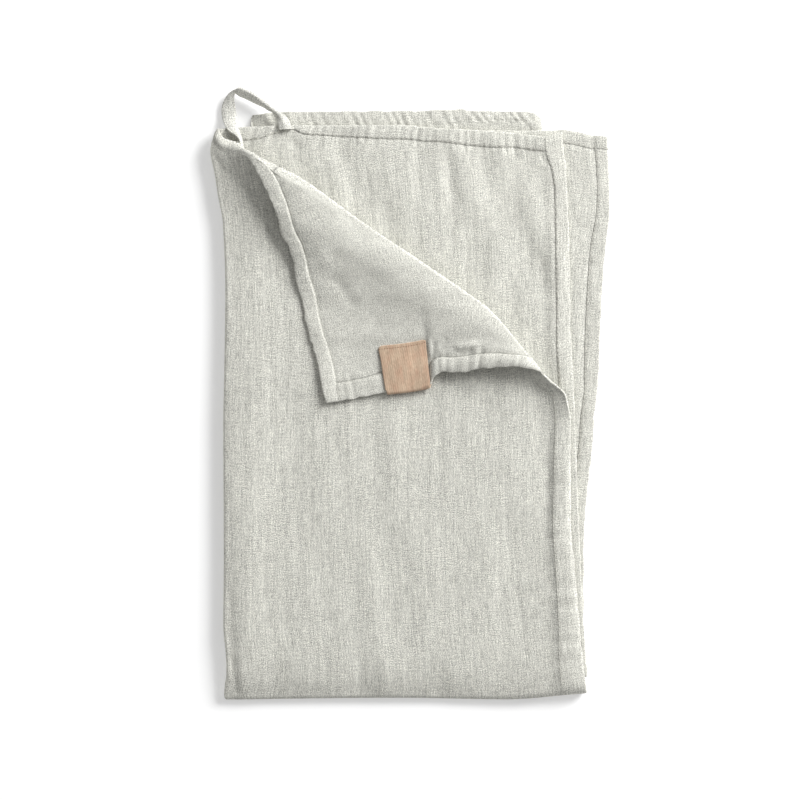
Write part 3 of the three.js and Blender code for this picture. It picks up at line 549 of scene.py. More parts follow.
class CutCloth:
    """The cut cloth as a flat net of points, finer at its hems, folds and visible parts."""

    def __init__(self):
        across = self.lines(HALF_WIDTH, FOLD_ARC + 1)
        along = self.lines(HALF_LENGTH, BEND_ARC + 1.5)
        s, s_kind, s_step = across
        t, t_kind, t_step = along
        s_net, t_net = np.meshgrid(s, t + HALF_LENGTH, indexing="ij")
        keep = self.kept(s_net, t_net, s_kind[:, None], t_kind[None], s_step[:, None], t_step[None])
        points = [Vector(pair) for pair in zip(s_net[keep].tolist(), t_net[keep].tolist())]
        verts, _, faces, *_ = delaunay_2d_cdt(points, [], [], 0, 1e-6)
        self.design = np.array([tuple(v) for v in verts])
        self.faces = np.array(faces)
        self.s, self.t = self.set_hems(*self.design.T)
        self.from_side = HALF_WIDTH - np.abs(self.design[:, 0])
        self.from_end = down_of(self.design[:, 1])
        self.nearest = np.minimum(self.from_side, self.from_end)
        self.down = down_of(self.t) / ROW_REACH
        self.main_layer = layer_names(self.s, self.t)
        share = (np.abs(self.s) - FOLD_ARC) / (HALF_WIDTH - FOLD_ARC)
        self.on_flap = (self.main_layer == "front") & (share > ridge_share(self.down))
        self.layer = np.where(self.on_flap, "flap", self.main_layer)

    @staticmethod
    def lines(half, arc):
        """Places of the lines one way, their kind (0 hem, 1 plain, 2 fold) and plain number."""
        hem = np.array(HEM_LINES) - half
        plain = np.arange(15 - half, -arc - 0.5 * CLOTH_STEP, CLOTH_STEP)
        fold = np.linspace(-arc, 0, 6)
        place = np.concatenate([hem, plain, fold])
        kind = np.repeat([0, 1, 2], [len(hem), len(plain), len(fold)])
        step = np.concatenate([np.zeros(len(hem)), np.arange(len(plain)), np.zeros(len(fold))])
        place = np.concatenate([place, -place[-2::-1]])
        kind = np.concatenate([kind, kind[-2::-1]])
        step = np.concatenate([step, step[-2::-1]])
        return place, kind, step.astype(int)

    @staticmethod
    def kept(s, t, s_kind, t_kind, s_step, t_step):
        layer = layer_names(s, t)
        share, down = share_of(s), down_of(t) / ROW_REACH
        ridge = ridge_share(down)
        on_front = layer == "front"
        near_ridge = on_front & (np.abs(share - ridge) * HALF_WIDTH < 11)
        near_ridge &= down < RIDGE_END_DOWN + 0.02
        flap = on_front & (share > ridge) & (down < RIDGE_END_DOWN)
        near_ridge |= flap & (down > 0.19) & ((1 - share) * HALF_WIDTH < 50)
        x, y = plan_point("second", share, down)
        seen = on_front | ((layer == "second") & (x > read(RIDGE, y, "x") - 12) & (y > -30))
        seen |= (layer == "third") & (share > 0.86)
        spacing = np.where(near_ridge, 1, np.where(seen, 2, 4))
        plain = (s_step % spacing == 0) & (t_step % spacing == 0)
        short_end = (down < 0.06) & ((layer == "back") | (layer == "second"))
        hidden = ((layer == "back") & (down > 0.06)) | ((layer == "third") & (share < 0.9))
        every = np.where(flap | short_end, 1, np.where(hidden, 4, 2))
        along_plain = np.where(s_kind == 1, s_step % every == 0, t_step % every == 0)
        both = (s_kind != 1) & (t_kind != 1)
        return np.where((s_kind == 1) & (t_kind == 1), plain, both | along_plain)

    @staticmethod
    def stretch(design, ratio):
        """Moves the hem's lines to their real distance, and leaves the cloth beyond as it is."""
        fade = 1 - smooth_step(HEM_LINES[-1], 52, design)
        return design * (1 + (ratio - 1) * fade)

    @staticmethod
    def real_length(edge, inner):
        """Real millimetres for each one of the cut cloth, between two lines of its points."""
        return np.linalg.norm(edge - inner, axis=1) / HEM_PROBE

    def set_hems(self, s, t):
        """Real places on the cut cloth, with each hem's stitch line where its table puts it."""
        layer = layer_names(s, t)
        from_side, from_end = HALF_WIDTH - np.abs(s), down_of(t)
        side_ratio, end_ratio = np.ones_like(s), np.ones_like(s)
        rows = np.linspace(0, HALF_LENGTH, HEM_READINGS)
        shares = np.linspace(0.02, 0.97, HEM_READINGS)
        for name, sign, first in (("front", -1, True), ("second", 1, True),
                                  ("third", 1, False), ("back", -1, False)):
            mine = layer == name
            all_rows = np.ones(HEM_READINGS)
            real_t = rows if first else 2 * HALF_LENGTH - rows
            edge = cloth_point(sign * HALF_WIDTH * all_rows, real_t)
            inner = cloth_point(sign * (HALF_WIDTH - HEM_PROBE) * all_rows, real_t)
            scale = self.real_length(edge, inner)
            ratio = read(SIDE_HEM[name], rows, "width") / (STITCH_LINE * scale)
            side_ratio[mine] = np.interp(from_end[mine], rows, ratio)
            real_s = sign * (shares * (HALF_WIDTH - FOLD_ARC) + FOLD_ARC)
            downs = np.array([0, HEM_PROBE]) if first else 2 * HALF_LENGTH - np.array([0, HEM_PROBE])
            edge, inner = (cloth_point(real_s, down * all_rows) for down in downs)
            scale = self.real_length(edge, inner)
            ratio = read(END_HEM[name], shares, "width") / (STITCH_LINE * scale)
            end_ratio[mine] = np.interp(share_of(s)[mine], shares, ratio)
        ragged = 1 + 1.2 * ((layer == "front") & (share_of(s) > ridge_share(from_end / ROW_REACH)))
        wobble = 0.3 * ragged * soft_waves(t, s, 5, ((8, 24), (400, 900)))
        real_s = np.sign(s) * (HALF_WIDTH - self.stretch(from_side, side_ratio))
        real_s += np.sign(s) * wobble * np.exp(-from_side / 6)
        wobble = 0.25 * ragged * soft_waves(s, t, 6, ((8, 24), (400, 900)))
        real_down = self.stretch(from_end, end_ratio) + wobble * np.exp(-from_end / 6)
        return real_s, np.where(t <= HALF_LENGTH, real_down, 2 * HALF_LENGTH - real_down)


def triangle_normals(points, faces):
    """Normals at the points, from the triangles round each one."""
    a, b, c = (points[faces[:, corner]] for corner in range(3))
    cross = np.cross(b - a, c - a)
    normals = np.zeros_like(points)
    for corner in range(3):
        np.add.at(normals, faces[:, corner], cross)
    return normals / np.maximum(np.linalg.norm(normals, axis=1), 1e-12)[:, None]


def puckers(along, length, seed):
    """Uneven ripples of about that length along a hem, between -1 and 1."""
    chance = np.random.default_rng(seed)
    drift = np.zeros_like(along)
    for span in (23, 41, 67):
        drift += 0.9 * np.sin(2 * math.pi * along / span + chance.uniform(0, 6.3))
    size = 0.65 + 0.35 * np.sin(2 * math.pi * along / 31 + chance.uniform(0, 6.3))
    wave = size * np.sin(2 * math.pi * along / length + drift)
    return 0.75 - (1 - wave) ** 2 / 2


# For each layer: how strongly its hems pucker, the length of a ripple, how deep the groove of its
# stitch line is and how much painted shade darkens that line, and how deep the soft waves of its plain
# part are
LAYER_LOOKS = {
    "front": {"side": 0.16, "side_length": 15, "end": 0.1, "end_length": 11, "waves": 0.3,
              "blotches": 0.15, "side_line": 0.2, "end_line": 0.0},
    "flap": {"side": 0.22, "side_length": 8, "end": 0.12, "end_length": 7, "waves": 0.35,
             "blotches": 0.3, "side_line": 0.7, "end_line": 1.0},
    "second": {"side": 0.17, "side_length": 9, "end": 0.26, "end_length": 5.6, "waves": 0.45,
               "blotches": 0.5, "side_line": 0.5, "end_line": 0.42},
    "third": {"side": 0.2, "side_length": 9, "end": 0.26, "end_length": 6, "waves": 0.25,
              "blotches": 0.2, "side_line": 0.75, "end_line": 0.75},
    "back": {"side": 0.0, "side_length": 13, "end": 0.36, "end_length": 7.6, "waves": 0.15,
             "blotches": 0.1, "side_line": 0.0, "end_line": 0.0},
}


def flap_line_start(s):
    """The short hem's stitch line shows only from a little beyond the ridge."""
    return smooth_step(34, 46, np.abs(s))


def plain_lift(name, number, place, at):
    """Soft waves and creases of a layer, which fade out in its hems."""
    looks = LAYER_LOOKS[name]
    s, t, side, end = at
    slow = soft_waves(s, t, 20 + number, ((24, 75), (110, 420)))
    small = soft_waves(s, t, 40 + number, ((9, 22), (60, 240)))
    blotch = soft_waves(s, t, 100 + number, ((24, 60), (28, 80)))
    lift = looks["waves"] * (slow + 0.3 * small) + looks["blotches"] * blotch
    lift += crease_lift(CREASES.get(name, ()), *place)
    return lift * smooth_step(0, 12, side + 3) * smooth_step(0, 12, end + 3)


def pucker_lift(name, number, at):
    """Puckers of a layer's hems, which fade out beyond the stitch line."""
    looks = LAYER_LOOKS[name]
    s, t, side, end = at
    size = looks["side"]
    if name == "front":
        size = size + 0.25 * smooth_step(225, 260, t)
    if name == "flap":
        size = size + 0.2 * smooth_step(78, 92, t)
    side_part = size * puckers(t, looks["side_length"], 60 + number)
    side_part *= bell(np.maximum(side - STITCH_LINE, 0), 6)
    slant = 0.5 * end if name == "back" else 0
    end_part = looks["end"] * puckers(s + slant, looks["end_length"], 80 + number)
    end_part *= bell(np.maximum(end - STITCH_LINE, 0), 8)
    return side_part * smooth_step(2, 9, end) + end_part * smooth_step(2, 9, side)


def hem_lift(name, at):
    """The roundness of a layer's hems, and the grooves that their stitches pull."""
    looks = LAYER_LOOKS[name]
    s, t, side, end = at
    tube = 0.18 + (0.7 * smooth_step(72, 80, t) if name == "flap" else 0)
    lift = tube * np.sin(math.pi * np.clip(side / STITCH_LINE, 0, 1))
    lift += 0.18 * np.sin(math.pi * np.clip(end / STITCH_LINE, 0, 1))
    if name not in ("front", "back"):
        side_depth = 0.1 + 0.2 * looks["side_line"]
        end_depth = 0.05 + 0.2 * looks["end_line"]
        end_depth = end_depth * (flap_line_start(s) if name == "flap" else 1)
        lift -= side_depth * bell(side - STITCH_LINE - 0.8, 1.5)
        lift -= end_depth * bell(end - STITCH_LINE - 0.8, 1.5)
    return lift


def lying_lift(name, lift, at):
    """What the hems underneath a layer's edges do to its lift."""
    _, t, side, end = at
    if name == "front":
        stack = (0.8 + 1.1 * smooth_step(165, 215, t)) * smooth_step(-3, 4, side)
        return lift + stack * (1 - smooth_step(8.3, 13.5, side))
    if name == "second":
        tilt = (np.minimum(side, STITCH_LINE) - 3.5) / 6
        return lift + 0.6 * tilt * (1 - smooth_step(STITCH_LINE, 20, side))
    if name == "back":
        under = smooth_step(0, 13, end) * (1 - smooth_step(18, 34, end))
        return np.maximum(lift + 0.9 * under, 0)
    return lift


def cloth_lift(cut, points, normals, settings):
    """How far waves, creases and puckers lift each point of the cloth, in millimetres."""
    x, y = points[:, 0], points[:, 1]
    lift = np.zeros(len(points))
    for number, name in enumerate(LAYER_LOOKS):
        mine = cut.layer == name
        at = [values[mine] for values in (cut.s, cut.t, cut.from_side, cut.from_end)]
        total = plain_lift(name, number, (x[mine], y[mine]), at) * settings.waves
        total += pucker_lift(name, number, at) * settings.puckers
        lift[mine] = lying_lift(name, total + hem_lift(name, at), at)
    covered = (cut.layer == "second") & ((y < 0) | (x < read(RIDGE, y, "x") - 25))
    lift = np.where(covered, 0.35 * lift, lift)
    near_fold = smooth_step(0, 8, np.abs(cut.s)) * smooth_step(0, 10, np.abs(cut.t - HALF_LENGTH))
    facing = np.clip(2.5 * normals[:, 2], -1, 1)
    return lift * near_fold * facing * (1 - 0.9 * label_cover(cut))


# The label lies between these shares of the flap's hemmed side edge. Its face lies this far
# above the middle of the flap at the hem, and its back this far below it.
LABEL_SPAN = (0.275, 0.488)
LABEL_ABOVE = 1.75
LABEL_BELOW = 0.95
LABEL_RADIUS = (LABEL_ABOVE + LABEL_BELOW) / 2
LABEL_WIDTH = 28.5
LABEL_BACK = 20.0
LABEL_CORNER = 2.6
LABEL_SEAM_DOWN = 1.9


def label_cover(cut):
    """How much a point of the flap lies under the label, where the cloth is held flat."""
    along = cut.t / ROW_REACH / RIDGE_END_DOWN
    start, end = LABEL_SPAN
    inside = smooth_step(start - 0.04, start, along)
    inside *= 1 - smooth_step(end - 0.01, end + 0.005, along)
    inside *= 1 - smooth_step(32, 40, HALF_WIDTH - np.abs(cut.s))
    return np.where(cut.on_flap, inside, 0)


def stitch_line_marks(cut):
    """For each point: its distance from the nearest stitch line, and how strongly painted shade
    darkens that line, or, below nought, how strongly a painted highlight lightens the fold's turn.
    """
    layer = cut.layer
    beyond = STITCH_LINE + np.where(layer == "flap", 0.9, 0.4)
    off_side, off_end = np.abs(cut.from_side - beyond), np.abs(cut.from_end - beyond)
    side_on_top = (layer == "second") | (layer == "back")
    off_side = np.where(~side_on_top & (cut.from_end < STITCH_LINE), 5.0, off_side)
    off_end = np.where(side_on_top & (cut.from_side < STITCH_LINE), 5.0, off_end)
    side_seam_shade = np.array([LAYER_LOOKS[name]["side_line"] for name in layer])
    end_seam_shade = np.array([LAYER_LOOKS[name]["end_line"] for name in layer])
    faint = flap_line_start(cut.s) * (1 - 0.7 * smooth_step(108, 125, np.abs(cut.s)))
    end_seam_shade = np.where(layer == "flap", end_seam_shade * faint, end_seam_shade)
    off = np.minimum(off_side, off_end)
    dark = np.where(off_side < off_end, side_seam_shade, end_seam_shade)
    # A painted highlight makes the turn of the lengthwise fold a little paler
    fold_painted_highlight = (np.abs(cut.s) < FOLD_ARC) & (cut.from_end > STITCH_LINE)
    return np.where(fold_painted_highlight, np.abs(cut.s) / 6, off), np.where(fold_painted_highlight, -0.8, dark)


def add_to_scene(name, mesh):
    thing = bpy.data.objects.new(name, mesh)
    bpy.context.scene.collection.objects.link(thing)
    return thing


def mesh_from(name, points, faces, uv=None, **attributes):
    """A smooth mesh object from points in metres, with named numbers at its points."""
    mesh = bpy.data.meshes.new(name)
    mesh.from_pydata(points.tolist(), [], faces.tolist())
    mesh.polygons.foreach_set("use_smooth", np.ones(len(mesh.polygons), bool))
    corners = np.zeros(len(mesh.loops), np.int32)
    mesh.loops.foreach_get("vertex_index", corners)
    if uv is not None:
        layer = mesh.uv_layers.new(name="cloth")
        layer.data.foreach_set("uv", uv[corners].astype(np.float32).ravel())
    for key, values in attributes.items():
        attribute = mesh.attributes.new(key, "FLOAT", "POINT")
        attribute.data.foreach_set("value", values.astype(np.float32))
    mesh.update()
    return add_to_scene(name, mesh)


def make_shell(points, faces, normals, rim, face_side, reverse_side):
    """Closes a skin into a thin shell. Its free edges, where rim is True, are shared points."""
    count = len(points)
    face = points + normals * face_side[:, None]
    reverse = points - normals * reverse_side[:, None]
    reverse_index = np.arange(count) + count
    reverse_index[rim] = np.arange(count)[rim]
    used = np.concatenate([np.arange(count), reverse_index[~rim]])
    both = np.concatenate([face, reverse])
    both[:count][rim] = (face[rim] + reverse[rim]) / 2
    renumber = np.full(2 * count, -1)
    renumber[used] = np.arange(len(used))
    shell = np.concatenate([faces, reverse_index[faces][:, ::-1]])
    return both[used], renumber[shell], used % count


def build_cloth(settings):
    cut = CutCloth()
    points = cloth_point(cut.s, cut.t)
    normals = triangle_normals(points, cut.faces)
    lift = cloth_lift(cut, points, normals, settings)
    push = normals * (0.3, 0.3, 1)
    push /= np.linalg.norm(push, axis=1)[:, None]
    points = points + push * lift[:, None]
    normals = triangle_normals(points, cut.faces)
    half = settings.thickness / MM / 2
    extra = settings.hem_extra / MM * (1 - smooth_step(9.15, 9.85, cut.nearest))
    extra *= np.where(cut.layer == "back", 0.15, np.where(cut.layer == "second", 0.55, 1))
    from_ridge = np.abs(share_of(cut.s) - ridge_share(cut.down)) * HALF_WIDTH
    turned = (cut.main_layer == "front") & (cut.down < RIDGE_END_DOWN)
    extra *= np.where(turned, smooth_step(1, 12, from_ridge), 1)
    rounding = np.sqrt(1 - (1 - np.clip(cut.nearest / 0.8, 0, 1)) ** 2)
    off_line, dark = stitch_line_marks(cut)
    groove = 0.22 * dark * bell(off_line, 0.5)
    middle = points - normals * (extra / 2)[:, None]
    reach = (half + extra / 2) * rounding
    rim = cut.nearest < RIM
    sides = (reach - groove * (reach > groove)) * ~rim
    points, faces, source = make_shell(middle, cut.faces, normals, rim, sides, sides)
    points[:, :2] += PLACE
    uv = np.stack([cut.s, cut.t], axis=1)[source] * MM
    streaks = np.where(cut.layer == "flap", 0.3, 1.0)
    # The painted shade of the stitch lines and the painted highlight on the fold's turn go to the
    # shader as a point attribute
    cloth = mesh_from("towel_cloth_linen", points * MM, faces, uv, off_line=off_line[source],
                      line_dark=dark[source], streaks=streaks[source])
    return cloth, cut


class StitchingSettings(bpy.types.PropertyGroup):
    pitch: FloatProperty(
        name="Pitch", description="Distance from one stitch to the next",
        default=0.0030, min=0.001, max=0.01, unit="LENGTH")
    stitch_length: FloatProperty(
        name="Stitch length", description="Length of the thread seen in one stitch",
        default=0.0022, min=0.0005, max=0.01, unit="LENGTH")
    thread: FloatProperty(
        name="Thread", description="Thickness of the sewing thread",
        default=0.00042, min=0.0001, max=0.002, unit="LENGTH")
    colour: FloatVectorProperty(
        name="Colour", description="Colour of the sewing thread",
        default=(0.62, 0.615, 0.56), size=3, min=0, max=1, subtype="COLOR")
    seed: IntProperty(
        name="Seed", description="Seed of the small differences between stitches",
        default=4, min=0)


class ClothSettings(bpy.types.PropertyGroup):
    thickness: FloatProperty(
        name="Thickness", description="Thickness of one layer of linen",
        default=0.0008, min=0.0003, max=0.0012, unit="LENGTH")
    hem_extra: FloatProperty(
        name="Hem", description="How much thicker the cloth is in its turned hems",
        default=0.0007, min=0.0, max=0.001, unit="LENGTH")
    waves: FloatProperty(
        name="Waves", description="Strength of the soft waves and creases",
        default=1.0, min=0, max=1.2, subtype="FACTOR")
    puckers: FloatProperty(
        name="Puckers", description="Strength of the puckers along the hems",
        default=1.0, min=0, max=1.2, subtype="FACTOR")
    colour: FloatVectorProperty(
        name="Colour", description="Colour of the washed linen",
        default=(0.62, 0.615, 0.56), size=3, min=0, max=1, subtype="COLOR")


class LoopSettings(bpy.types.PropertyGroup):
    thickness: FloatProperty(
        name="Thickness", description="Thickness of the folded tape",
        default=0.0014, min=0.0005, max=0.003, unit="LENGTH")
    colour: FloatVectorProperty(
        name="Colour", description="Colour of the tape",
        default=(0.72, 0.715, 0.66), size=3, min=0, max=1, subtype="COLOR")


class LabelSettings(bpy.types.PropertyGroup):
    height: FloatProperty(
        name="Height", description="Height of the label's front, from the cloth's edge",
        default=0.028, min=0.015, max=0.04, unit="LENGTH")
    thickness: FloatProperty(
        name="Thickness", description="Thickness of the label",
        default=0.0008, min=0.0003, max=0.0015, unit="LENGTH")
    colour: FloatVectorProperty(
        name="Colour", description="Colour of the label",
        default=(0.52, 0.39, 0.28), size=3, min=0, max=1, subtype="COLOR")
    thread_colour: FloatVectorProperty(
        name="Thread colour", description="Colour of the thread that sews the label down",
        default=(0.30, 0.17, 0.11), size=3, min=0, max=1, subtype="COLOR")


class StageSettings(bpy.types.PropertyGroup):
    floor_size: FloatProperty(
        name="Floor", description="Side of the floor",
        default=12.0, min=1.0, max=40.0, unit="LENGTH")
    floor_colour: FloatVectorProperty(
        name="Floor colour", description="Colour of the floor",
        default=(0.82, 0.82, 0.82), size=3, min=0, max=1, subtype="COLOR")
    floor_glow: FloatProperty(
        name="Floor glow", description="Light that comes up through the floor",
        default=0.285, min=0, max=2)
    key_power: FloatProperty(
        name="Key light", description="Power of the large soft light from the upper right",
        default=98.5, min=0, max=900, unit="POWER")
    sky: FloatProperty(
        name="Sky light", description="Strength of the even light from all round",
        default=0.40, min=0, max=3)


class TowelSettings(bpy.types.PropertyGroup):
    cloth: PointerProperty(type=ClothSettings)
    loop: PointerProperty(type=LoopSettings)
    label: PointerProperty(type=LabelSettings)
    stitching: PointerProperty(type=StitchingSettings)
    stage: PointerProperty(type=StageSettings)


class Wiring:
    """Adds nodes to a tree and joins them up."""

    def __init__(self, tree):
        self.tree = tree

    def fill(self, node, inputs):
        """Gives each of these inputs its value, or a link from another node's socket."""
        for key, value in inputs.items():
            if isinstance(value, bpy.types.NodeSocket):
                self.tree.links.new(value, node.inputs[key])
            else:
                node.inputs[key].default_value = value

    def add(self, kind, inputs=None, **settings):
        node = self.tree.nodes.new(kind)
        for key, value in settings.items():
            setattr(node, key, value)
        self.fill(node, inputs or {})
        return node

    def maths(self, operation, *values):
        return self.add("ShaderNodeMath", dict(enumerate(values)), operation=operation).outputs[0]

    def cut_place(self):
        """The place on the cut cloth in millimetres, from the piece's own map."""
        own_map = self.add("ShaderNodeUVMap", uv_map="cloth").outputs[0]
        inputs = {0: own_map, "Scale": 1 / MM}
        return self.add("ShaderNodeVectorMath", inputs, operation="SCALE").outputs[0]

    def noise(self, place, scale, detail=2.0):
        """Noise whose lumps are as many to the unit of the place as the scale says, each way."""
        mapping = self.add("ShaderNodeMapping", {"Vector": place, "Scale": scale})
        inputs = {"Vector": mapping.outputs[0], "Scale": 1.0, "Detail": detail, "Roughness": 0.55}
        return self.add("ShaderNodeTexNoise", inputs, noise_dimensions="3D").outputs[0]

    def bands(self, place, direction, width, distortion=0.0):
        """Bands of that width in millimetres."""
        inputs = {"Vector": place, "Scale": math.pi / 10 / width, "Distortion": distortion}
        wave = self.add("ShaderNodeTexWave", inputs, wave_type="BANDS", bands_direction=direction)
        return wave.outputs[1]

    def swings(self, start, *parts):
        """A tone from its start and parts, each a noise and how far it swings about nought."""
        tone = start
        for part, amount in parts:
            swing = self.maths("MULTIPLY", self.maths("SUBTRACT", part, 0.5), amount)
            tone = self.maths("ADD", swing, tone)
        return tone


def new_material(name):
    material = bpy.data.materials.new(name)
    material.use_nodes = True
    material.node_tree.nodes.clear()
    wiring = Wiring(material.node_tree)
    shader = wiring.add("ShaderNodeBsdfPrincipled")
    wiring.add("ShaderNodeOutputMaterial", {"Surface": shader.outputs[0]})
    return material, wiring, shader


def finish_cloth_shader(wiring, shader, colour, tone, height, depth):
    """Colour times tone, and relief from height, on a matt shader with a little sheen."""
    tinted = wiring.add("ShaderNodeVectorMath", {0: colour, "Scale": tone}, operation="SCALE")
    relief = wiring.add("ShaderNodeBump", {"Strength": 1.0, "Distance": depth, "Height": height})
    wiring.fill(shader, {
        "Base Color": tinted.outputs[0], "Normal": relief.outputs[0], "Roughness": 0.92,
        "Specular IOR Level": 0.2, "Sheen Weight": 0.12, "Sheen Roughness": 0.5,
    })


def linen_material(name, colour, seams=True):
    """Plain weave of uneven yarn. The cloth's own map gives the place on the cut cloth."""
    material, wiring, shader = new_material(name)
    place = wiring.cut_place()
    checker = wiring.add("ShaderNodeTexChecker", {"Vector": place, "Scale": 1 / YARN})
    weave = wiring.add("ShaderNodeMix", {
        "Factor": checker.outputs[1], 2: wiring.bands(place, "X", YARN),
        3: wiring.bands(place, "Y", YARN)}, data_type="FLOAT")
    warp = wiring.noise(place, (1.2, 0.13, 1), 1)
    weft = wiring.noise(place, (0.14, 1.2, 1), 1)
    grain = wiring.noise(place, (1.7, 1.6, 1), 1)
    slub = wiring.noise(place, (0.75, 0.035, 1), 1)
    streak = wiring.noise(place, (0.22, 0.008, 1), 2)
    cloud = wiring.noise(place, (0.07, 0.045, 1), 2)
    tone = wiring.swings(0.0, (warp, 0.4), (slub, 0.4), (streak, 0.35))
    if seams:
        streaks = wiring.add("ShaderNodeAttribute", attribute_name="streaks").outputs["Fac"]
        tone = wiring.maths("MULTIPLY", tone, streaks)
    tone = wiring.maths("ADD", tone, 1.0)
    tone = wiring.swings(tone, (warp, 0.3), (weft, 0.6), (grain, 2.4), (cloud, 0.15))
    # Painted shade darkens the cloth along its stitch lines, and a painted highlight lightens the turn
    # of the lengthwise fold
    if seams:
        off = wiring.add("ShaderNodeAttribute", attribute_name="off_line").outputs["Fac"]
        dark = wiring.add("ShaderNodeAttribute", attribute_name="line_dark").outputs["Fac"]
        near = wiring.maths("MULTIPLY", wiring.maths("POWER", off, 2.0), -4.5)
        line = wiring.maths("MULTIPLY", wiring.maths("EXPONENT", near), dark)
        tone = wiring.maths("MULTIPLY", tone, wiring.maths("MULTIPLY_ADD", line, -0.62, 1.0))
    yarns = wiring.maths("ADD", warp, grain)
    height = wiring.maths("MULTIPLY_ADD", weave.outputs[0], 0.5, yarns)
    finish_cloth_shader(wiring, shader, colour, tone, height, 0.00018)
    return material


def thread_material(name, colour):
    material, wiring, shader = new_material(name)
    place = wiring.add("ShaderNodeTexCoord").outputs["Object"]
    twist = wiring.noise(place, (2500, 2500, 2500), 2)
    finish_cloth_shader(wiring, shader, colour, wiring.swings(1.0, (twist, 0.3)), twist, 0.0001)
    return material


def label_material(name, colour):
    """Finely ribbed tan weave. The ribs run up the label."""
    material, wiring, shader = new_material(name)
    place = wiring.cut_place()
    ribs = wiring.bands(place, "X", LABEL_RIB, 0.4)
    broad = wiring.noise(place, (0.45, 0.03, 1), 2)
    fibres = wiring.noise(place, (2.0, 0.5, 1), 3)
    cloud = wiring.noise(place, (0.12, 0.12, 1), 2)
    warmth = wiring.noise(place, (0.2, 0.09, 1), 2)
    tone = wiring.swings(1.0, (broad, 0.7), (fibres, 0.8), (cloud, 0.3), (ribs, 0.03))
    height = wiring.maths("MULTIPLY_ADD", ribs, 0.25, fibres)
    finish_cloth_shader(wiring, shader, colour, tone, height, 0.00015)
    swing = wiring.maths("MULTIPLY_ADD", warmth, 3.0, -1.2)
    swing = wiring.maths("MINIMUM", wiring.maths("MAXIMUM", swing, 0.0), 1.0)
    plain = shader.inputs["Base Color"].links[0].from_socket
    redder = wiring.add("ShaderNodeMix", {"Factor": swing, 6: plain, 7: (0.92, 0.8, 0.78, 1)},
                        data_type="RGBA", blend_type="MULTIPLY")
    wiring.fill(shader, {"Base Color": redder.outputs[2]})
    return material


def flap_normal(out, down):
    step = 0.004
    along = flap_point(out + step, down) - flap_point(out - step, down)
    across = flap_point(out, down + step) - flap_point(out, down - step)
    normal = np.cross(along, across)
    normal /= np.linalg.norm(normal, axis=-1)[..., None]
    return np.where(normal[..., 2:] < 0, -normal, normal)


def grid_faces(rows, columns):
    """Triangles of a grid of points, row by row."""
    number = np.arange(rows * columns).reshape(rows, columns)
    a, b = number[:-1, :-1].ravel(), number[:-1, 1:].ravel()
    c, d = number[1:, 1:].ravel(), number[1:, :-1].ravel()
    return np.concatenate([np.stack([a, b, c], 1), np.stack([a, c, d], 1)])


def label_inset(away, height):
    """How far the sides lie in from the full width: round at the top, drawn in at the fold."""
    beyond = max(LABEL_CORNER - (height - away), 0)
    rounded = LABEL_CORNER - math.sqrt(LABEL_CORNER**2 - beyond**2)
    return max(rounded, 0.5 * max(1.6 - away, 0))


def label_row(kind, away, turn, height, across):
    """One row of the label's middle, and each of its points' share of the label's width."""
    inset = 0 if kind == "back" else label_inset(away, height)
    share = 0.5 + (across - 0.5) * (1 - 2 * inset / LABEL_WIDTH)
    down = lerp(*LABEL_SPAN, share) * RIDGE_END_DOWN
    edge = flap_point(np.ones_like(down), down)
    length = np.linalg.norm(flap_point(np.zeros_like(down), down) - edge, axis=1)
    normal = flap_normal(1 - height / length / 2, down)
    if kind == "turn":
        inward = flap_point(1 - height / length, down) - edge
        inward /= np.linalg.norm(inward, axis=1)[:, None]
        centre = edge + normal * (LABEL_ABOVE - LABEL_BELOW) / 2
        return centre + LABEL_RADIUS * (normal * math.cos(turn) - inward * math.sin(turn)), share
    offset = np.full_like(across, -LABEL_BELOW)
    if kind == "front":
        puff = 0.55 * math.sin(math.pi * away / height) * np.sin(math.pi * across)
        lean = 0.5 * smooth_step(0.75, 1, across) * (1 - smooth_step(8, 18, away))
        offset = lerp(LABEL_ABOVE, LABEL_BELOW, smooth_step(11.5, height, away)) + puff + lean
    return flap_point(1 - away / length, down) + normal * offset[:, None], share


def places_to(end, count, margins):
    """Even places from 0 to the first margin of the end, then closer ones at the margins."""
    near = end - np.array(margins)
    return np.concatenate([np.linspace(0, near[0], count), near[1:], [end]])


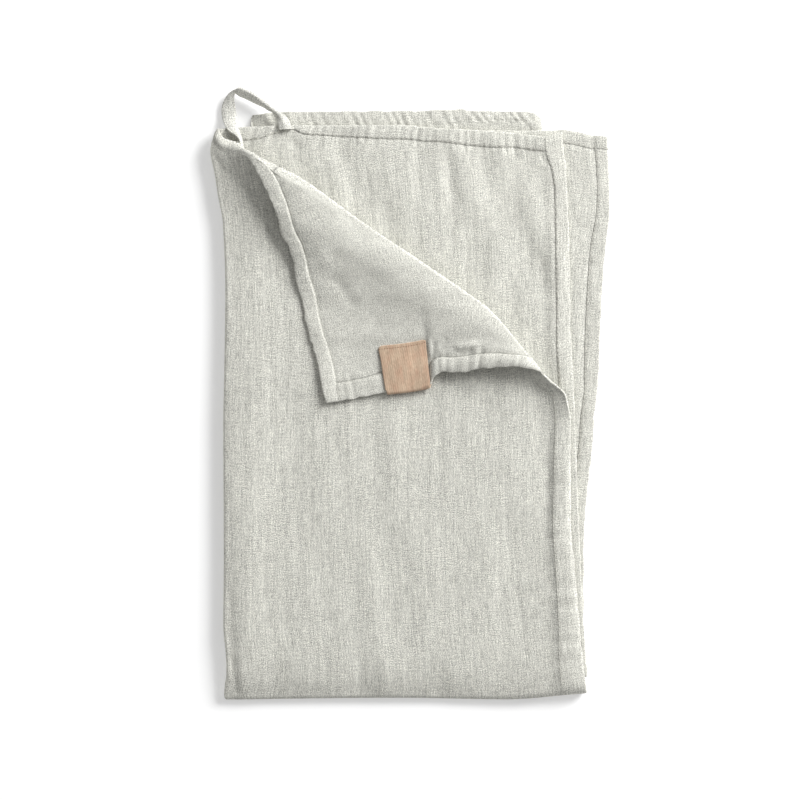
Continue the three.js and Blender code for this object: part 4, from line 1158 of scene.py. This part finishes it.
def build_label(settings):
    """The label, folded round the flap's side hem and sewn down at its top."""
    height = settings.height / MM
    half = settings.thickness / MM / 2
    front = places_to(height, 34, (1.2, 0.6, 0.3, 0.1))[::-1]
    back = places_to(LABEL_BACK, 14, (0.9, 0.4, 0.1))
    turns = np.linspace(0, math.pi, 11)[1:-1]
    margins = np.array((0, 0.1, 0.3, 0.7, 1.4)) / LABEL_WIDTH
    plain = np.linspace(margins[-1], 1 - margins[-1], 38)
    across = np.concatenate([margins[:-1], plain, 1 - margins[-2::-1]])
    rows = [("front", away, 0) for away in front] + [("turn", 0, turn) for turn in turns]
    rows += [("back", away, 0) for away in back]
    points, shares = zip(*(label_row(*row, height, across) for row in rows))
    points, columns = np.concatenate(points), len(across)

    steps = np.abs(np.diff([away for _, away, _ in rows], prepend=height))
    steps[len(front):len(front) + len(turns)] = LABEL_RADIUS * math.pi / 10
    run = np.repeat(np.cumsum(steps), columns)
    from_side = np.tile(np.minimum(across, 1 - across) * LABEL_WIDTH, len(rows))
    gap = np.minimum(from_side, np.minimum(run, run[-1] - run))
    uv = np.stack([np.concatenate(shares) * LABEL_WIDTH, run], 1)

    faces = grid_faces(len(rows), columns)
    normals = triangle_normals(points, faces)
    if normals[len(front) // 2 * columns + columns // 2, 2] < 0:
        faces, normals = faces[:, ::-1], -normals
    sides = half * np.sqrt(1 - (1 - np.clip(gap / 0.5, 0, 1)) ** 2)
    row = np.flatnonzero(front <= height - LABEL_SEAM_DOWN)[0]
    seam = slice(row * columns + 3, (row + 1) * columns - 3)
    line = points[seam] + normals[seam] * (half + 0.02) + (*PLACE, 0)
    shell, faces, source = make_shell(points, faces, normals, gap < RIM, sides, sides)
    shell[:, :2] += PLACE
    label = mesh_from("sewn_label_patch", shell * MM, faces, uv[source] * MM)
    return label, [(line, normals[seam])]


TAPE_WIDTH = 8.5
LOOP_ROWS = 150
# Stations along the loop: its outer or right edge, its crest and its inner or left edge
LOOP_STATIONS = np.array([
    (-72.2, 160.7, 7.4, -76.1, 160.5, 8.3, -80.0, 160.2, 7.4),
    (-72.9, 163.1, 7.6, -76.9, 163.2, 8.5, -80.7, 163.1, 7.2),
    (-74.4, 166.5, 7.3, -78.2, 166.8, 8.3, -81.6, 166.8, 6.4),
    (-76.5, 169.1, 7.4, -80.5, 169.5, 8.5, -83.1, 169.5, 5.6),
    (-79.4, 170.9, 8.0, -82.8, 171.6, 8.7, -84.6, 171.7, 5.0),
    (-82.4, 172.7, 8.6, -84.9, 172.9, 8.9, -86.4, 172.4, 4.4),
    (-87.7, 177.3, 9.2, -88.6, 175.6, 9.3, -88.9, 174.1, 3.4),
    (-91.6, 180.6, 9.2, -91.6, 177.6, 9.7, -92.2, 175.6, 2.8),
    (-95.9, 183.6, 9.0, -95.9, 180.9, 9.8, -96.5, 177.6, 2.4),
    (-100.5, 185.4, 8.6, -100.4, 183.6, 9.5, -100.1, 179.4, 2.3),
    (-104.0, 186.1, 8.0, -103.9, 184.6, 8.8, -104.2, 181.2, 2.2),
    (-106.3, 184.8, 7.0, -107.4, 184.3, 6.2, -108.8, 183.6, 2.6),
    (-107.4, 180.0, 4.8, -110.2, 180.0, 4.4, -113.0, 179.6, 2.8),
    (-106.8, 174.3, 2.9, -110.9, 174.3, 3.1, -115.1, 174.2, 2.4),
    (-106.0, 168.6, 3.2, -110.5, 168.4, 3.5, -114.9, 168.2, 2.8),
    (-105.6, 162.8, 5.8, -109.2, 162.4, 6.6, -112.7, 161.9, 6.2),
    (-104.1, 159.2, 7.6, -107.0, 159.1, 8.9, -109.8, 158.9, 9.2),
    (-103.3, 156.6, 7.8, -105.1, 156.8, 9.3, -106.9, 157.0, 10.0),
    (-102.6, 154.0, 7.8, -103.7, 154.2, 9.3, -104.7, 154.4, 10.4),
    (-102.0, 151.0, 7.6, -103.0, 151.2, 9.1, -103.9, 151.4, 10.2),
    (-101.5, 148.6, 7.4, -102.4, 148.8, 8.9, -103.2, 149.0, 10.0),
    (-100.9, 146.6, 7.2, -101.7, 146.8, 8.7, -102.4, 147.0, 9.8),
])


def through(points, count):
    """Evenly numbered points on a smooth curve through the given ones."""
    before, after = 2 * points[:1] - points[1:2], 2 * points[-1:] - points[-2:-1]
    padded = np.concatenate([before, points, after])
    at = np.linspace(0, len(points) - 1, count)
    row = np.minimum(at.astype(int), len(points) - 2)
    t = (at - row)[:, None]
    a, b, c, d = (padded[row + k] for k in range(4))
    curve = 2 * b + (c - a) * t + (2 * a - 5 * b + 4 * c - d) * t**2
    return 0.5 * (curve + (3 * b - a - 3 * c + d) * t**3)


def build_loop(settings):
    """The tape of the loop: a folded strip, bent over a crest, with soft rounded edges."""
    outer, crest, inner = (through(LOOP_STATIONS[:, k:k + 3], LOOP_ROWS) for k in (0, 3, 6))
    first, last = np.linalg.norm(crest - outer, axis=1), np.linalg.norm(inner - crest, axis=1)
    bend = (first / (first + last))[:, None, None]
    reach = np.linspace(0, 1, 13)
    share = reach[:, None]
    strip = outer[:, None] + (crest - outer)[:, None] * np.clip(share / bend, 0, 1)
    strip += (inner - crest)[:, None] * np.clip((share - bend) / (1 - bend), 0, 1)
    # Rounds the crest
    strip[:, 1:-1] = (strip[:, :-2] + 2 * strip[:, 1:-1] + strip[:, 2:]) / 4
    normal = np.cross(np.gradient(strip, axis=0), np.gradient(strip, axis=1))
    normal /= np.linalg.norm(normal, axis=2)[..., None]
    half = settings.thickness / MM / 2
    edge = np.minimum(reach, 1 - reach) * (first + last)[:, None]
    round_off = np.sqrt(1 - (1 - np.clip((edge + 0.12) / half, 0, 1)) ** 2)
    dent = 1 - 0.28 * bell(edge - 1.0, 0.35)
    lift = normal * (half * round_off * dent)[..., None]
    rings = np.concatenate([strip + lift, (strip - lift)[:, ::-1]], axis=1)

    around = rings.shape[1]
    number = np.arange(LOOP_ROWS * around).reshape(LOOP_ROWS, around)
    a, b = number[:-1], np.roll(number[:-1], -1, axis=1)
    d, c = number[1:], np.roll(number[1:], -1, axis=1)
    faces = [np.stack([a, b, c], -1).reshape(-1, 3), np.stack([a, c, d], -1).reshape(-1, 3)]
    # A point in the middle of each end closes it
    middle = strip.mean(axis=1)
    points = np.concatenate([rings.reshape(-1, 3), middle[:1], middle[-1:]])
    head, tail = number[0], number[-1]
    faces.append(np.stack([np.full(around, number.size), np.roll(head, -1), head], 1))
    faces.append(np.stack([np.full(around, number.size + 1), tail, np.roll(tail, -1)], 1))
    faces = np.concatenate(faces)
    corner = [points[faces[:, k]] for k in range(3)]
    volume = np.einsum("ij,ij->i", corner[0], np.cross(corner[1], corner[2])).sum()
    if volume < 0:
        faces = faces[:, ::-1]

    run = np.concatenate([[0], np.cumsum(np.linalg.norm(np.diff(middle, axis=0), axis=1))])
    sides = np.concatenate([reach, 1 + reach]) * TAPE_WIDTH
    uv = np.stack([np.tile(sides, LOOP_ROWS), np.repeat(run, around)], 1)
    uv = np.concatenate([uv, [[0, 0], [0, run[-1]]]])
    points[:, :2] += PLACE
    return mesh_from("hanging_loop_tape", points * MM, faces, uv * MM), run[-1]


def finish_piece(piece, replaced=()):
    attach(piece, "root")
    if replaced:
        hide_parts(*replaced)


def stitch_tree():
    """Geometry nodes that lay stitches along the lines of a mesh."""
    tree = bpy.data.node_groups.new("Stitches along a line", "GeometryNodeTree")
    sockets = (("Line", "NodeSocketGeometry"), ("Pitch", "NodeSocketFloat"),
               ("Stitch length", "NodeSocketFloat"), ("Thread", "NodeSocketFloat"),
               ("Seed", "NodeSocketInt"), ("Finish", "NodeSocketMaterial"))
    for name, kind in sockets:
        tree.interface.new_socket(name, in_out="INPUT", socket_type=kind)
    tree.interface.new_socket("Stitches", in_out="OUTPUT", socket_type="NodeSocketGeometry")
    wiring = Wiring(tree)
    add = wiring.add
    given = add("NodeGroupInput").outputs
    curve = add("GeometryNodeMeshToCurve", {"Mesh": given["Line"]})
    spaced = add("GeometryNodeResampleCurve",
                 {"Curve": curve.outputs[0], "Length": given["Pitch"]}, mode="LENGTH")
    ball = add("GeometryNodeMeshUVSphere", {"Segments": 8, "Rings": 6, "Radius": 0.5})
    size = add("ShaderNodeCombineXYZ",
               {0: given["Stitch length"], 1: given["Thread"], 2: given["Thread"]})
    shaped = add("GeometryNodeTransform", {"Geometry": ball.outputs[0], "Scale": size.outputs[0]})
    tangent = add("GeometryNodeInputTangent")
    along = add("FunctionNodeAlignRotationToVector", {"Vector": tangent.outputs[0]}, axis="X")
    up = add("GeometryNodeInputNamedAttribute", {"Name": "up"}, data_type="FLOAT_VECTOR")
    upright = add("FunctionNodeAlignRotationToVector",
                  {"Rotation": along.outputs[0], "Vector": up.outputs[0]},
                  axis="Z", pivot_axis="X")
    smallest, largest = (0.86, 0.85, 0.85), (1.08, 1.15, 1.15)
    chance = add("FunctionNodeRandomValue", {0: smallest, 1: largest, "Seed": given["Seed"]},
                 data_type="FLOAT_VECTOR")
    placed = add("GeometryNodeInstanceOnPoints", {
        "Points": spaced.outputs[0], "Instance": shaped.outputs[0],
        "Rotation": upright.outputs[0], "Scale": chance.outputs[0]})
    real = add("GeometryNodeRealizeInstances", {0: placed.outputs[0]})
    smooth = add("GeometryNodeSetShadeSmooth", {0: real.outputs[0]})
    finish = add("GeometryNodeSetMaterial",
                 {"Geometry": smooth.outputs[0], "Material": given["Finish"]})
    add("NodeGroupOutput", {0: finish.outputs[0]})
    return tree


def lay_stitches(name, lines, settings, material, **sizes):
    """Stitches along lines of points in millimetres, each line with its upward directions."""
    points = np.concatenate([line for line, _ in lines]) * MM
    ups = np.concatenate([up for _, up in lines])
    edges, start = [], 0
    for line, _ in lines:
        edges += [(start + k, start + k + 1) for k in range(len(line) - 1)]
        start += len(line)
    mesh = bpy.data.meshes.new(name + "_lines")
    mesh.from_pydata(points.tolist(), edges, [])
    attribute = mesh.attributes.new("up", "FLOAT_VECTOR", "POINT")
    attribute.data.foreach_set("vector", ups.astype(np.float32).ravel())
    guide = add_to_scene(name + "_lines", mesh)
    modifier = guide.modifiers.new("Stitches", "NODES")
    modifier.node_group = bpy.data.node_groups.get("Stitches along a line") or stitch_tree()
    values = {"Pitch": settings.pitch, "Stitch length": settings.stitch_length,
              "Thread": settings.thread, "Seed": settings.seed, "Finish": material}
    values.update(sizes)
    for item in modifier.node_group.interface.items_tree:
        if item.in_out == "INPUT" and item.name in values:
            modifier[item.identifier] = values[item.name]
    bpy.context.view_layer.update()
    evaluated = guide.evaluated_get(bpy.context.evaluated_depsgraph_get())
    result = bpy.data.meshes.new_from_object(evaluated)
    guide.modifiers.remove(modifier)
    bpy.data.objects.remove(guide)
    result.name = name
    return add_to_scene(name, result)


# The seams whose stitches show: the layer, which hem of it, the stretch of it in millimetres
# from the lengthwise fold or the short end, and which side of the cloth is uppermost
SEAMS = (
    ("second", "side", 1, 200, "reverse"),
    ("second", "end", 12, 211, "reverse"),
    ("third", "side", 10, 330, "face"),
    ("third", "end", 150, 223, "face"),
    ("back", "end", 160, 210, "reverse"),
    ("front", "end", 25, 223, "reverse"),
    ("front", "side", 10, 39, "reverse"),
    ("front", "side", 77, 149, "reverse"),
    ("front", "side", 153, 342, "face"),
)


def read_vectors(mesh, name):
    values = np.zeros(len(mesh.vertices) * 3)
    mesh.vertices.foreach_get(name, values)
    return values.reshape(-1, 3)


def seam_lines(cloth, cut):
    """Lines of points just above the cloth along its seams, found on the finished mesh."""
    place = read_vectors(cloth.data, "co") / MM
    normal = read_vectors(cloth.data, "normal")
    count = len(cut.nearest)
    inner = cut.nearest >= RIM
    reverse_number = np.full(count, -1)
    reverse_number[inner] = count + np.arange(inner.sum())
    across = HALF_WIDTH - cut.from_side
    lines = []
    for name, hem, start, end, side in SEAMS:
        if hem == "side":
            off, along = cut.from_side, cut.from_end
        else:
            off, along = cut.from_end, across
        chosen = (cut.main_layer == name) & (np.abs(off - STITCH_LINE) < RIM)
        chosen = np.flatnonzero(chosen & (along >= start) & (along <= end))
        chosen = chosen[np.argsort(along[chosen])]
        number = chosen if side == "face" else reverse_number[chosen]
        lines.append((place[number] + normal[number] * 0.1, normal[number]))
    return lines


class TOWEL_OT_cloth(bpy.types.Operator):
    """Make the folded cloth with its hems, creases and seams"""

    bl_idname = "towel.make_cloth"
    bl_label = "Make the folded cloth"

    def execute(self, context):
        settings = context.scene.tea_towel
        cloth, cut = build_cloth(settings.cloth)
        cloth.data.materials.append(linen_material("washed linen", settings.cloth.colour))
        thread = thread_material("linen thread", settings.stitching.colour)
        stitches = lay_stitches("hem_stitches", seam_lines(cloth, cut), settings.stitching, thread)
        finish_piece(cloth, ["towel_cloth"])
        finish_piece(stitches)
        return {"FINISHED"}


class TOWEL_OT_loop(bpy.types.Operator):
    """Make the hanging loop of tape"""

    bl_idname = "towel.make_loop"
    bl_label = "Make the hanging loop"

    def execute(self, context):
        settings = context.scene.tea_towel
        loop, length = build_loop(settings.loop)
        loop.data.materials.append(linen_material("loop tape", settings.loop.colour, seams=False))
        finish_piece(loop, ["hanging_loop"])
        return {"FINISHED"}


class TOWEL_OT_label(bpy.types.Operator):
    """Make the sewn label, left bare"""

    bl_idname = "towel.make_label"
    bl_label = "Make the sewn label"

    def execute(self, context):
        settings = context.scene.tea_towel
        label, lines = build_label(settings.label)
        label.data.materials.append(label_material("tan label", settings.label.colour))
        thread = thread_material("brown thread", settings.label.thread_colour)
        sizes = {"Pitch": 0.0016, "Stitch length": 0.0011, "Thread": 0.0004}
        stitches = lay_stitches("label_stitches", lines, settings.stitching, thread, **sizes)
        finish_piece(label, ["sewn_label"])
        finish_piece(stitches)
        return {"FINISHED"}


# The key light's direction in degrees, and its distance and size in metres
KEY_BEARING, KEY_HEIGHT = 39, 28
KEY_DISTANCE, KEY_SIZE = 2.4, 1.35
# The camera looks straight down from over this place, and sees this width in metres at the
# level of the towel's upper side
LENS, SENSOR = 200.0, 36.0
CAMERA_OVER = (-0.00651, -0.00392)
VIEW_WIDTH, VIEW_LEVEL = 0.48696, 0.009


class TOWEL_OT_stage(bpy.types.Operator):
    """Make the floor, the soft light and the camera"""

    bl_idname = "towel.make_stage"
    bl_label = "Make the stage"

    def execute(self, context):
        settings = context.scene.tea_towel.stage
        half = settings.floor_size / 2
        corners = np.array([(-half, -half, 0), (half, -half, 0), (half, half, 0), (-half, half, 0)])
        floor = mesh_from("floor", corners, np.array([(0, 1, 2, 3)]))
        material, wiring, shader = new_material("pale floor")
        wiring.fill(shader, {
            "Base Color": (*settings.floor_colour, 1), "Roughness": 0.9,
            "Specular IOR Level": 0.1, "Emission Color": (1, 1, 1, 1),
            "Emission Strength": settings.floor_glow,
        })
        floor.data.materials.append(material)

        world = bpy.data.worlds.new("studio")
        world.use_nodes = True
        background = world.node_tree.nodes["Background"]
        background.inputs["Color"].default_value = (1, 1, 1, 1)
        background.inputs["Strength"].default_value = settings.sky
        context.scene.world = world

        key = bpy.data.lights.new("key", "AREA")
        key.shape = "SQUARE"
        key.size = KEY_SIZE
        key.energy = settings.key_power
        lamp = add_to_scene("key", key)
        away = Vector((0, 0, KEY_DISTANCE))
        lamp.visible_camera = False
        lamp.rotation_euler = (0, math.radians(90 - KEY_HEIGHT), math.radians(KEY_BEARING))
        away.rotate(lamp.rotation_euler)
        lamp.location = away

        camera = bpy.data.cameras.new("camera")
        camera.lens, camera.sensor_width = LENS, SENSOR
        camera.clip_start, camera.clip_end = 0.1, 50
        eye = add_to_scene("camera", camera)
        eye.location = (*CAMERA_OVER, VIEW_WIDTH * LENS / SENSOR + VIEW_LEVEL)
        context.scene.camera = eye
        context.scene.view_settings.view_transform = "Standard"
        return {"FINISHED"}


class TOWEL_PT_panel(bpy.types.Panel):
    """Sizes, colours and buttons of the tea towel"""

    bl_idname = "TOWEL_PT_panel"
    bl_label = "Tea towel"
    bl_space_type = "VIEW_3D"
    bl_region_type = "UI"
    bl_category = "Tea towel"

    def draw(self, context):
        settings = context.scene.tea_towel
        for title, part, operator in PARTS:
            box = self.layout.box()
            box.label(text=title)
            group = getattr(settings, part)
            for key in group.__class__.__annotations__:
                box.prop(group, key)
            if operator:
                box.operator(operator)


PARTS = (
    ("Cloth", "cloth", TOWEL_OT_cloth.bl_idname),
    ("Loop", "loop", TOWEL_OT_loop.bl_idname),
    ("Label", "label", TOWEL_OT_label.bl_idname),
    ("Stitching", "stitching", None),
    ("Stage", "stage", TOWEL_OT_stage.bl_idname),
)
CLASSES = (
    StitchingSettings, ClothSettings, LoopSettings, LabelSettings, StageSettings, TowelSettings,
    TOWEL_OT_cloth, TOWEL_OT_loop, TOWEL_OT_label, TOWEL_OT_stage, TOWEL_PT_panel,
)


def register():
    for each in CLASSES:
        bpy.utils.register_class(each)
    bpy.types.Scene.tea_towel = PointerProperty(type=TowelSettings)


def unregister():
    del bpy.types.Scene.tea_towel
    for each in reversed(CLASSES):
        bpy.utils.unregister_class(each)


def main():
    register()
    bpy.ops.towel.make_stage()
    bpy.ops.towel.make_cloth()
    bpy.ops.towel.make_loop()
    bpy.ops.towel.make_label()


if __name__ == "__main__":
    main()
